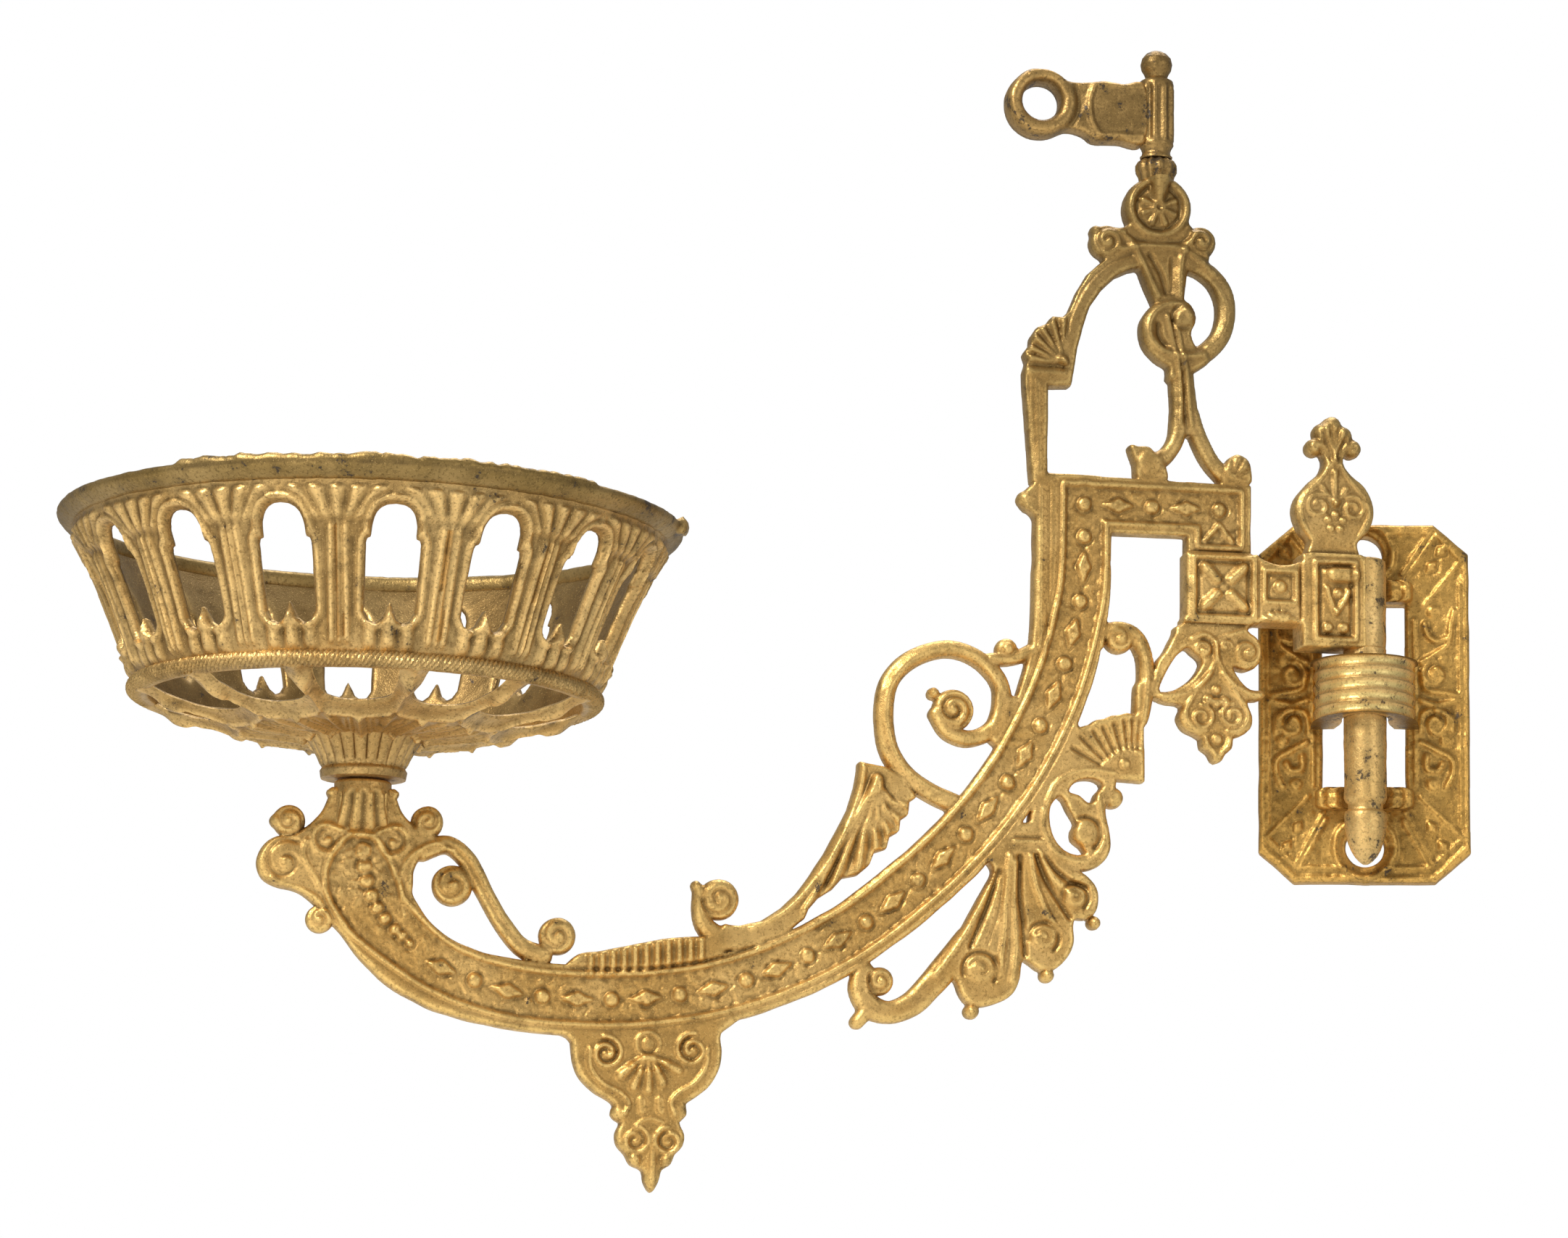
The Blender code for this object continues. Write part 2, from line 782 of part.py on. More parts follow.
def cup_arcade():
    z0, z1 = RING_Z + 2.4, RIM_Z - 3.4
    levels = [z0 + (z1 - z0) * i / 6 for i in range(7)]
    outer = [(arcade_radius(z), z) for z in levels[::-1]]
    inner = [(arcade_radius(z) - 3.0, z) for z in levels]
    arcade = turned_ring("cup_arcade", outer + inner, ARCHES * 4)
    opening = [(-5.2, -1.6), (5.2, -1.6), (5.7, 13.2)] + arc(0, 14.2, 5.7, 0, 180, 7)
    opening += [(-5.7, 13.2)]
    for i in range(ARCHES // 2):
        angle = ARCH_OFFSET + math.pi * 2 * i / ARCHES
        cut(arcade, radial_cutter("arch_cutter", opening, angle))
    quarters(arcade, ARCH_OFFSET)


def cup_rings():
    rim = [(RIM_R - 4.6, RIM_Z + 2.4), (RIM_R - 0.6, RIM_Z + 2.4), (RIM_R, RIM_Z)]
    rim += [(RIM_R - 1.2, RIM_Z - 2.8), (RIM_R - 4.2, RIM_Z - 3.1), (RIM_R - 5.0, RIM_Z - 1.0)]
    finish(turned_ring("cup_rim", rim, 64), GOLD_PAINT, CUP_PIVOT)
    turns = [math.radians(90 - 45 * i) for i in range(5)]
    rope = [(52.4 + 1.9 * math.cos(a), RING_Z + 1.9 * math.sin(a)) for a in turns]
    rope += [(49.0, RING_Z - 1.9), (48.6, RING_Z), (49.0, RING_Z + 1.9)]
    finish(turned_ring("cup_rope_ring", rope, 64), GOLD_PAINT, CUP_PIVOT)


def cup_bowl():
    outer = [(51.4, RING_Z - 2.2), (50.4, -13.6), (45.0, -15.6), (36.0, -16.6), (24.0, -17.8)]
    outer += [(13.4, -19.0)]
    inner = [(r, z + 2.6) for r, z in outer[:0:-1]]
    inner[-1] = (48.4, RING_Z - 2.2)
    bowl = turned_ring("cup_bowl", outer + inner, LOBES * 4)
    spread = math.tan(math.pi / LOBES)
    for i in range(LOBES):
        petal = arc(37.4, 0.0, 7.2, -100, -260, 9)
        petal += [(47.6, (47.6 * spread - 2.6) * 0.86), (47.6, -(47.6 * spread - 2.6) * 0.86)]
        cutter = level_arch("lobe_cutter", petal, -30.0, 0.0)
        cutter.rotation_euler.z = math.pi * 2 * i / LOBES + LOBE_OFFSET - math.pi / 2
        cut(bowl, cutter)
    quarters(bowl, LOBE_OFFSET)


def cup_collar():
    collar = [(3.2, -16.6), (13.0, -16.6), (13.0, -19.2), (11.4, -22.4), (9.6, -25.6)]
    collar += [(9.2, CUP_BASE_Z), (3.2, CUP_BASE_Z)]
    finish(turned_ring("cup_collar", collar, 32), GOLD_PAINT, CUP_PIVOT)


def cup_screw():
    """The round-headed screw that the cup turns on, and the nut that locks it in the arm."""
    top = -13.0
    profile = [(0, top), (2.4, top - 0.4), (4.6, top - 1.6), (5.0, -16.2), (2.6, -16.2)]
    profile += [(2.6, CUP_BASE_Z + 0.1), (0, CUP_BASE_Z + 0.1)]
    screw = turned("cup_screw", profile, 24)
    screw.location.x = CUP_X * MM
    finish(screw, STEEL, ARM_PIVOT)


# Reflector holder, about its own axis


def reflector_holder():
    barrel = turned(
        "reflector_barrel",
        [(0, 147.6), (2.2, 147.0), (3.7, 144.6), (3.4, 142.0), (2.6, 140.6), (4.0, 139.6),
         (4.0, 124.8), (3.0, 122.8), (3.6, SWIVEL_Z), (0, SWIVEL_Z)],
        24,
    )
    socket = turned("socket_cutter", [(0, 131.4), (1.9, 131.4), (1.9, 118.0), (0, 118.0)], 24)
    cut(barrel, socket)
    finish(barrel, GOLD_PAINT, REFLECTOR_PIVOT)
    web = [(-4.3, 137.4), (-4.3, 124.9), (-16.0, 124.0), (-20.0, 126.2)]
    web += [(-27.0, 126.4), (-27.0, 140.2), (-20.0, 139.6), (-13.0, 138.0)]
    eye = slab("reflector_eye", disc(-27.2, 133.2, 8.0, 28), -3.0, 3.0)
    join(eye, slab("web", web, -2.6, 2.6))
    hole = disc(-27.2, 133.5, 4.5, 24)
    finish(cut(eye, slab("eye_cutter", hole, -6.0, 6.0)), GOLD_PAINT, REFLECTOR_PIVOT)


wall_plate()
spindle_strap()
plate_lug("top_lug", WINDOW_Z[1], WINDOW_Z[1] + 4.8)
plate_lug("bottom_lug", WINDOW_Z[0] - 4.8, WINDOW_Z[0])
main_band()
arm_head()
head_scroll()
reeded_strip()
hook_volute()
wing_leaf()
ring_scroll()
frame_post()
frame_rail()
flower_block()
hinge_block()
hinge_spindle()
palmette_finial()
block_pendant()
stem_scroll()
pleated_fan()
loop_curl()
lower_palmette()
lower_pendant()
upper_strut()
upper_loop()
top_wheel()
pin_boss()
reflector_peg()
cup_arcade()
cup_rings()
cup_bowl()
cup_collar()
cup_screw()
reflector_holder()
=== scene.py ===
"""Swing-arm lamp bracket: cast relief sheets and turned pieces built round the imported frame.

Lengths are in millimetres until place_* turns them into metres. Arm pieces are drawn in the arm's
own flat frame: x along the arm with the spindle at 0, z up, and the front towards -y.
"""

import json
import math

import bpy
import numpy as np
from mathutils import Matrix, Vector

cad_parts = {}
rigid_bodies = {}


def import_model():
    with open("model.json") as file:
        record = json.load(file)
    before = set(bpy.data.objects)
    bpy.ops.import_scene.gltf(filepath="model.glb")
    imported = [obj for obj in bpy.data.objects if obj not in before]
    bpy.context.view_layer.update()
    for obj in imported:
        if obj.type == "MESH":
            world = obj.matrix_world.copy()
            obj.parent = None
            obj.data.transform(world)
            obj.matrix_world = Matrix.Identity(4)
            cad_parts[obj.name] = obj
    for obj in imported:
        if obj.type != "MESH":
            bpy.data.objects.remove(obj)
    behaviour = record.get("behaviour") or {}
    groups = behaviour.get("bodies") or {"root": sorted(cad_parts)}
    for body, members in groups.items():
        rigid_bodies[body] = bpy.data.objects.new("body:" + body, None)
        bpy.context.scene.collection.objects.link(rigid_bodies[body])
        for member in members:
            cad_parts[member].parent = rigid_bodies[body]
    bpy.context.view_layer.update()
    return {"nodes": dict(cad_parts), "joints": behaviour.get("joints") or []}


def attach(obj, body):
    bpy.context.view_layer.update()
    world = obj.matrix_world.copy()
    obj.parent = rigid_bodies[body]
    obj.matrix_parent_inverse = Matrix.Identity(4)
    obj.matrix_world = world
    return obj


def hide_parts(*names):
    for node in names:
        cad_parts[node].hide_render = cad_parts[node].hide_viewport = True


for leftover in list(bpy.data.objects):
    bpy.data.objects.remove(leftover)

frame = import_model()

MM = 0.001
JOINTS = {joint["name"]: joint for joint in frame["joints"]}
SPINDLE = np.array(JOINTS["arm_swing"]["pos_m"]) / MM
CUP_AXIS = np.array(JOINTS["cup_swivel"]["pos_m"]) / MM
SWIVEL = np.array(JOINTS["reflector_swivel"]["pos_m"]) / MM
REACH = SPINDLE[:2] - CUP_AXIS[:2]
SWING = math.atan2(REACH[1], REACH[0])
SWIVEL_X = -math.hypot(*(SPINDLE[:2] - SWIVEL[:2]))

# Placing: each takes x, z and y as arrays and returns points in the row frame, in metres.


def place_arm(x, z, y):
    c, s = math.cos(SWING), math.sin(SWING)
    return np.stack([x * c - y * s + SPINDLE[0], x * s + y * c + SPINDLE[1], z], -1) * MM


def place_wall(x, z, y):
    return np.stack([x, y, z], -1) * MM


# Outlines and noise


def curve(points, step=0.9, closed=False):
    """A Catmull-Rom curve through the points, each x, z and any further values."""
    rows = [np.array(p, float) for p in points]
    count = len(rows)
    path = []
    for i in range(count if closed else count - 1):
        if closed:
            a, b, c, d = (rows[(i + k - 1) % count] for k in range(4))
        else:
            a, b, c, d = (rows[min(max(i + k - 1, 0), count - 1)] for k in range(4))
        pieces = max(1, round(math.hypot(*(c - b)[:2]) / step))
        for j in range(pieces):
            t = j / pieces
            path.append(
                b
                + 0.5 * t * (c - a)
                + t * t * (a - 2.5 * b + 2 * c - 0.5 * d)
                + t**3 * (-0.5 * a + 1.5 * b - 1.5 * c + 0.5 * d)
            )
    if not closed:
        path.append(rows[-1])
    return np.array(path)


def arc(x, z, radius, start, end, count=24):
    """Points on an arc, angles in degrees anticlockwise from +x."""
    turn = np.radians(np.linspace(start, end, count))
    return np.stack([x + radius * np.cos(turn), z + radius * np.sin(turn)], -1)


def spiral(x, z, radius, turns, start, hand=1, inner=0.22):
    """Points from the rim of a scroll in to its eye; hand 1 winds anticlockwise."""
    t = np.linspace(0, 1, int(20 * turns) + 2)
    turn = math.radians(start) + hand * 2 * math.pi * turns * t
    reach = radius * (1 - (1 - inner) * t)
    return np.stack([x + reach * np.cos(turn), z + reach * np.sin(turn)], -1)


def noise(x, z, cell, seed):
    """Smooth seeded noise from -1 to 1, with features about one cell wide."""
    table = np.random.default_rng(seed).uniform(-1, 1, (256, 256))
    u, v = x / cell + 1000, z / cell + 1000
    i, j = np.floor(u).astype(int), np.floor(v).astype(int)
    u, v = u - i, v - j
    u, v = u * u * (3 - 2 * u), v * v * (3 - 2 * v)
    low = table[j & 255, i & 255] * (1 - u) + table[j & 255, (i + 1) & 255] * u
    high = table[(j + 1) & 255, i & 255] * (1 - u) + table[(j + 1) & 255, (i + 1) & 255] * u
    return low * (1 - v) + high * v


def smooth_max(a, b, soft):
    h = np.clip(0.5 + 0.5 * (a - b) / soft, 0, 1)
    return b + (a - b) * h + soft * h * (1 - h)


def step_up(value, low, high):
    t = np.clip((value - low) / (high - low), 0, 1)
    return t * t * (3 - 2 * t)


def hump(distance, half, height):
    """A low round bump across a line, gone at the half width."""
    return height * np.clip(1 - (distance / half) ** 2, 0, 1)


def bead(distance, half, height):
    """The same bump with its foot smoothed off."""
    return height * np.clip(1 - (distance / half) ** 2, 0, 1) ** 2


def round_top(distance, radius, height):
    """A dome that stands up steeply at its radius."""
    return height * np.sqrt(np.clip(1 - (distance / radius) ** 2, 0, 1))


def eased_edge(depth, radius, drop):
    """How far a surface falls away within a radius of its edge; zero or less."""
    t = np.clip(depth / radius, 0, 1)
    return drop * (np.sqrt(1 - (1 - t) ** 2) - 1)


def square(x, z, half):
    """The corners of an upright square."""
    return [(x - half, z - half), (x + half, z - half), (x + half, z + half), (x - half, z + half)]


def blurred(field, times):
    """A cheap blur: each pass averages every point with its neighbours."""
    for _ in range(times):
        padded = np.pad(field, 1, mode="edge")
        field = (padded[1:-1, :-2] + 2 * padded[1:-1, 1:-1] + padded[1:-1, 2:]) / 4
        padded = np.pad(field, 1, mode="edge")
        field = (padded[:-2, 1:-1] + 2 * padded[1:-1, 1:-1] + padded[2:, 1:-1]) / 4
    return field


# Distance fields


def line_distance(X, Z, path, closed=False):
    """Distance to a line through the points."""
    best = np.full(X.shape, 1e3)
    ends = np.roll(path, -1, axis=0) if closed else path[1:]
    for (xa, za), (xb, zb) in zip(path[:, :2], ends[:, :2]):
        dx, dz = xb - xa, zb - za
        t = np.clip(((X - xa) * dx + (Z - za) * dz) / max(dx * dx + dz * dz, 1e-9), 0, 1)
        best = np.minimum(best, (X - xa - t * dx) ** 2 + (Z - za - t * dz) ** 2)
    return np.sqrt(best)


def polygon_depth(X, Z, path):
    """How far inside a closed outline each point is; negative outside."""
    inside = np.zeros(X.shape, bool)
    for (xa, za), (xb, zb) in zip(path[:, :2], np.roll(path, -1, axis=0)[:, :2]):
        if za != zb:
            inside ^= ((za > Z) != (zb > Z)) & (X < (xb - xa) * (Z - za) / (zb - za) + xa)
    distance = line_distance(X, Z, path, closed=True)
    return np.where(inside, distance, -distance)


def strip_depth(X, Z, path):
    """How far inside a strip each point is; path rows are x, z and half width."""
    best = np.full(X.shape, -99.0)
    for (xa, za, ra), (xb, zb, rb) in zip(path[:-1], path[1:]):
        dx, dz = xb - xa, zb - za
        t = np.clip(((X - xa) * dx + (Z - za) * dz) / max(dx * dx + dz * dz, 1e-9), 0, 1)
        best = np.maximum(best, ra + t * (rb - ra) - np.hypot(X - xa - t * dx, Z - za - t * dz))
    return best


# How softly two overlapping shapes of a sheet run into each other
SOFT = 0.7
HALF_THICKNESS = 3.0
EMPTY = -6.0


class Sheet:
    """A cast plate on a grid: how far inside its outline each point is, and its relief."""

    def __init__(self, x0, z0, x1, z1, step):
        self.x0, self.z0, self.step = x0, z0, step
        columns = x0 + step * np.arange(int(round((x1 - x0) / step)) + 1)
        rows = z0 + step * np.arange(int(round((z1 - z0) / step)) + 1)
        self.X, self.Z = np.meshgrid(columns, rows)
        self.flat = np.full(self.X.shape, EMPTY)
        self.stem = np.full(self.X.shape, EMPTY)
        self.thick = np.full(self.X.shape, HALF_THICKNESS)
        self.relief = np.zeros(self.X.shape)

    def near(self, points, reach):
        """The part of the grid within reach of the points."""
        low = (np.asarray(points)[:, :2].min(0) - reach - (self.x0, self.z0)) / self.step
        high = (np.asarray(points)[:, :2].max(0) + reach - (self.x0, self.z0)) / self.step
        (i0, j0), (i1, j1) = np.maximum(low, 0).astype(int), np.maximum(high, 0).astype(int) + 2
        return np.s_[j0:j1, i0:i1]

    def add(self, field, at, depth, soft=SOFT):
        field[at] = smooth_max(field[at], depth, soft)

    def slab(self, points, smooth=True, soft=SOFT):
        """A flat region with a small rounding at its edge."""
        path = curve(points, closed=True) if smooth else np.array(points, float)
        at = self.near(path, 4.0)
        self.add(self.flat, at, polygon_depth(self.X[at], self.Z[at], path), soft)

    def rod(self, points):
        """A scroll stem with a round section: points are x, z and half width."""
        path = curve(points)
        at = self.near(path, 7.0)
        self.add(self.stem, at, strip_depth(self.X[at], self.Z[at], path))

    def ball(self, x, z, radius, rise=0.25, soft=SOFT):
        at = self.near([(x, z)], radius + 4.0)
        away = np.hypot(self.X[at] - x, self.Z[at] - z)
        self.add(self.stem, at, radius - away, soft)
        self.relief[at] += hump(away, radius, rise)

    def hole(self, points, smooth=True):
        """An opening cut through what is there so far."""
        path = curve(points, closed=True) if smooth else np.array(points, float)
        at = self.near(path, 3.0)
        depth = -polygon_depth(self.X[at], self.Z[at], path)
        self.flat[at] = np.minimum(self.flat[at], depth)
        self.stem[at] = np.minimum(self.stem[at], depth)

    def ridge(self, points, half, height, closed=False):
        """A rounded ridge along a line, or a groove where height is negative."""
        path = np.array(points, float)
        at = self.near(path, half + 0.5)
        away = line_distance(self.X[at], self.Z[at], path, closed)
        self.relief[at] += bead(away, half, height)

    def vein(self, points, half, height):
        """A ridge along a curve through the points."""
        self.ridge(curve(points, 0.6), half, height)

    def boss(self, x, z, radius, height, ring=0.35):
        """A low dome with a groove round it."""
        at = self.near([(x, z)], radius + 1.5)
        away = np.hypot(self.X[at] - x, self.Z[at] - z)
        self.relief[at] += round_top(away, radius, height)
        self.relief[at] -= bead(away - radius - 0.25, 0.5, ring)

    def dome(self, x, z, radius, height):
        self.boss(x, z, radius, height, 0.0)

    def lozenge(self, x, z, turn, long, wide, height):
        """A raised diamond with bevelled edges, turned by an angle in degrees."""
        c, s = math.cos(math.radians(turn)), math.sin(math.radians(turn))
        at = self.near([(x, z)], long + 2)
        dx, dz = self.X[at] - x, self.Z[at] - z
        u, v = np.abs(dx * c + dz * s) / long, np.abs(dz * c - dx * s) / wide
        depth = (1 - u - v) * long * wide / math.hypot(long, wide)
        self.relief[at] += height * step_up(depth, -0.1, 0.5)
        self.relief[at] -= bead(depth + 0.3, 0.45, 0.3)

    def scroll(self, x, z, radius, start, hand=1, turns=1.15, depth=0.6, width=0.55):
        """The coiled groove of a volute, with a small eye."""
        self.ridge(spiral(x, z, radius, turns, start, hand), width, -depth)
        self.boss(x, z, radius * 0.24, 0.3, 0.0)

    def fan(self, root, tips, width=0.5, depth=0.5, near=0.15):
        """Grooves that spread from a root to each tip."""
        for tip in tips:
            start = [root[k] + near * (tip[k] - root[k]) for k in range(2)]
            self.ridge([start, tip], width, -depth)

    def depth(self):
        return smooth_max(self.flat, self.stem, SOFT)

    def height(self, edge=0.8, edge_radius=0.9, stem_edge=1.5, stem_radius=1.9):
        """Half thickness: flat regions have a crisp rounded edge, stems are fully round."""

        def rounded(depth, low, radius):
            t = np.clip(depth / radius, 0, 1)
            rise = (self.thick - low) * np.sqrt(1 - (1 - t) ** 2)
            return low + rise + 1.5 * np.minimum(depth, 0)

        flat = rounded(self.flat, self.thick - edge, edge_radius)
        stem = rounded(self.stem, self.thick - stem_edge, stem_radius)
        fade = step_up(self.depth(), 0.0, SOFT)
        return smooth_max(flat, stem, 0.5) + self.relief * fade


# Meshes


def walk(case):
    """The polygons of one grid cell: corners 0 to 3, and 4 to 7 for the crossings on its sides."""
    if case == 5:
        return [[0, 4, 7], [2, 6, 5]]
    if case == 10:
        return [[1, 5, 4], [3, 7, 6]]
    path = []
    for k in range(4):
        if case >> k & 1:
            path.append(k)
        if (case >> k & 1) != (case >> (k + 1) % 4 & 1):
            path.append(4 + k)
    return [path]


def build(name, points, faces, attributes):
    """A smooth mesh object from point rows and lists of faces with the same number of corners."""
    mesh = bpy.data.meshes.new(name)
    corners = np.concatenate([f.ravel() for f in faces]).astype(np.int32)
    sizes = np.concatenate([np.full(len(f), f.shape[1], np.int32) for f in faces])
    starts = np.concatenate([[0], np.cumsum(sizes)[:-1]]).astype(np.int32)
    mesh.vertices.add(len(points))
    mesh.vertices.foreach_set("co", points.astype(np.float32).ravel())
    mesh.loops.add(len(corners))
    mesh.loops.foreach_set("vertex_index", corners)
    mesh.polygons.add(len(sizes))
    mesh.polygons.foreach_set("loop_start", starts)
    mesh.polygons.foreach_set("use_smooth", np.ones(len(sizes), bool))
    mesh.update(calc_edges=True)
    mesh.validate()
    mesh.set_sharp_from_angle(angle=math.radians(66))
    for key, values in attributes.items():
        layer = mesh.attributes.new(key, "FLOAT", "POINT")
        layer.data.foreach_set("value", values.astype(np.float32))
    obj = bpy.data.objects.new("cast_" + name, mesh)
    bpy.context.scene.collection.objects.link(obj)
    return obj


# Grid nodes no nearer the outline than this, and crossings no nearer a node than this share
LEAST_DEPTH = 0.03
LEAST_SHARE = 0.06
# Blur passes that find a face's hollows, and the cavity value of the wall round an outline, which
# paints the wall paler as a painted highlight
HOLLOW_BLUR = 12
WALL_HIGHLIGHT_CAVITY = 0.25


def cast(name, x, z, depth, front, back, place, wrap=False, bulge=0.15, back_shade_and_grime=0.0):
    """A closed casting from a sheet: front and back stand off the sheet's middle, and the wall
    round every outline has a fine parting line. With wrap the last column meets the first.
    Back shade and grime darken the back face: painted shade for the less lit inside of the cup,
    with some grime."""
    nearest = np.where(depth > 0, LEAST_DEPTH, -LEAST_DEPTH)
    depth = np.where(np.abs(depth) < LEAST_DEPTH, nearest, depth)
    inside = depth > 0
    columns = depth.shape[1]
    # Painted highlight and shade: the relief above its own blur, which the paint turns paler on
    # ridges and darker, with some dirt, in hollows
    cavity = (front - blurred(front, HOLLOW_BLUR)) * inside
    # Painted shade with some grime: the back face's cavity is lowered by a constant, which darkens
    # it
    behind = (back - blurred(back, HOLLOW_BLUR)) * inside - back_shade_and_grime
    slope_z, slope_x = np.gradient(depth)
    scale = np.maximum(np.hypot(slope_x, slope_z), 1e-6)
    fields = [x, z, front, back, cavity, slope_x / scale, slope_z / scale, behind]

    def crossings(first, second):
        """Where the outline crosses the grid lines between two sets of nodes."""
        hit = inside[first] != inside[second]
        share = depth[first][hit] / (depth[first][hit] - depth[second][hit])
        share = np.clip(share, LEAST_SHARE, 1 - LEAST_SHARE)
        found = [f[first][hit] + share * (f[second][hit] - f[first][hit]) for f in fields]
        return hit, found

    if wrap:
        turn = x[0, 1] - x[0, 0]
        around = [np.concatenate([f, f[:, :1]], axis=1) for f in fields]
        around[0][:, -1] = around[0][:, -2] + turn
        inside = np.concatenate([inside, inside[:, :1]], axis=1)
        depth = np.concatenate([depth, depth[:, :1]], axis=1)
        fields = around
    hit_h, cross_h = crossings(np.s_[:, :-1], np.s_[:, 1:])
    hit_v, cross_v = crossings(np.s_[:-1, :columns], np.s_[1:, :columns])
    nodes = inside[:, :columns]
    count = int(nodes.sum())
    node_id = np.full(nodes.shape, -1)
    node_id[nodes] = np.arange(count)
    id_h = np.full(hit_h.shape, -1)
    id_h[hit_h] = count + np.arange(int(hit_h.sum()))
    id_v = np.full(hit_v.shape, -1)
    id_v[hit_v] = count + int(hit_h.sum()) + np.arange(int(hit_v.sum()))
    if wrap:
        node_id = np.concatenate([node_id, node_id[:, :1]], axis=1)
        id_v = np.concatenate([id_v, id_v[:, :1]], axis=1)
    rim = [np.concatenate([h, v]) for h, v in zip(cross_h, cross_v)]
    surface = [np.concatenate([f[:, :columns][nodes], r]) for f, r in zip(fields, rim)]
    total = len(surface[0])
    points = np.concatenate(
        [
            place(surface[0], surface[1], -surface[2]),
            place(surface[0], surface[1], surface[3]),
            place(rim[0] - bulge * rim[5], rim[1] - bulge * rim[6], (rim[3] - rim[2]) / 2),
        ]
    )
    code = inside[:-1, :-1] + 2 * inside[:-1, 1:] + 4 * inside[1:, 1:] + 8 * inside[1:, :-1]
    lookup = [
        node_id[:-1, :-1],
        node_id[:-1, 1:],
        node_id[1:, 1:],
        node_id[1:, :-1],
        id_h[:-1],
        id_v[:, 1:],
        id_h[1:],
        id_v[:, :-1],
    ]
    faces = []
    for case in range(1, 16):
        at = code == case
        if not at.any():
            continue
        for path in walk(case):
            ring = np.stack([lookup[k][at] for k in path], -1)
            if len(path) == 5:
                # An outer corner cell: its long side is cut so that no face is a thin sliver.
                shift = next(i for i in range(5) if path[i] > 3 and path[(i + 1) % 5] > 3)
                ring = np.roll(ring, -shift, axis=1)
                front_faces = [ring[:, [0, 1, 2]], ring[:, [0, 2, 3, 4]]]
            else:
                front_faces = [ring]
            faces += front_faces
            faces += [f[:, ::-1] + total for f in front_faces]
            for k in range(len(path)):
                if path[k] > 3 and path[(k + 1) % len(path)] > 3:
                    a = np.stack([lookup[path[k]][at]], -1)
                    b = np.stack([lookup[path[(k + 1) % len(path)]][at]], -1)
                    mid_a, mid_b = a - count + 2 * total, b - count + 2 * total
                    faces.append(np.concatenate([b, a, mid_a, mid_b], axis=1))
                    faces.append(np.concatenate([mid_b, mid_a, a + total, b + total], axis=1))
    cavity = np.concatenate([surface[4], surface[7], np.full(len(rim[0]), WALL_HIGHLIGHT_CAVITY)])
    used = np.zeros(len(points), bool)
    for f in faces:
        used[f.ravel()] = True
    if not used.all():
        # Crossings on the far edge of a sheet that no cell uses.
        renumber = np.cumsum(used) - 1
        faces = [renumber[f] for f in faces]
        points, cavity = points[used], cavity[used]
    return build(name, points, faces, {"cavity": cavity})


# Arm casting

STEP = 0.34

# The band and its sunk panel: x, z and half width, from the head up to the frame
BAND = [
    (-224.6, -50.0, 8.4), (-220.4, -56.8, 8.6), (-212.8, -65.6, 8.0), (-201.5, -71.2, 7.5),
    (-184.5, -73.9, 7.5), (-167.0, -74.0, 7.3), (-150.0, -72.0, 7.3), (-133.0, -66.8, 7.2),
    (-117.0, -58.4, 7.1), (-99.5, -44.3, 7.1), (-87.5, -31.5, 7.1), (-78.5, -18.5, 7.1),
    (-73.5, -7.2, 7.4), (-69.8, 5.0, 7.8), (-68.2, 16.0, 8.2), (-67.8, 24.0, 8.5),
]
PANEL_HEAD = [
    (-224.3, -45.4, 5.0), (-224.2, -49.0, 6.8), (-222.6, -53.4, 7.0), (-218.6, -58.8, 6.0),
]
PANEL = [
    (-206.0, -68.2, 4.9), (-191.0, -72.9, 4.9), (-175.0, -74.1, 4.9), (-159.5, -73.2, 4.9),
    (-144.0, -70.2, 4.8), (-129.8, -64.8, 4.8), (-116.3, -57.3, 4.8), (-104.8, -48.2, 4.8),
    (-93.4, -37.3, 4.8), (-83.3, -24.9, 4.7), (-75.8, -12.0, 4.7), (-70.2, 1.5, 4.6),
    (-66.4, 16.4, 4.5), (-65.3, 26.0, 4.4), (-65.2, 40.4, 4.3),
]
RAIL_Z = 40.4

# Beads and diamonds along the band, and their sizes
BEADS = 29
DIAMOND = (4.0, 1.8, 0.7)
BEAD = (1.7, 0.75, 0.35)


def head_outline(arm):
    arm.slab(
        [
            (-230.8, -30.0), (-231.2, -32.0), (-232.6, -35.0), (-235.0, -37.8), (-238.4, -40.6),
            (-241.4, -41.6), (-244.5, -43.3), (-246.2, -46.6), (-245.0, -50.0), (-241.6, -51.6),
            (-237.0, -52.9), (-233.6, -55.4), (-231.0, -58.4), (-224.0, -62.0), (-214.0, -57.0),
            (-212.7, -51.4), (-212.6, -47.2), (-210.6, -43.8), (-207.0, -42.2), (-208.4, -39.6),
            (-212.6, -37.8), (-215.4, -35.2), (-216.8, -32.0), (-217.2, -30.0),
        ]
    )
    arm.ball(-239.7, -37.5, 3.4)
    arm.ball(-242.6, -37.6, 1.2)
    arm.ball(-209.9, -36.7, 3.4)
    arm.ball(-240.4, -46.3, 5.6)
    arm.ball(-232.4, -58.5, 2.9)
    arm.rod([(-210.6, -43.2, 1.9), (-205.4, -41.4, 1.9), (-200.8, -44.8, 1.9),
             (-197.3, -51.0, 1.8), (-193.6, -57.2, 1.8), (-189.0, -62.8, 1.9),
             (-184.2, -64.8, 2.2)])
    arm.ball(-204.1, -50.3, 4.3)
    arm.ball(-181.0, -60.5, 3.9)


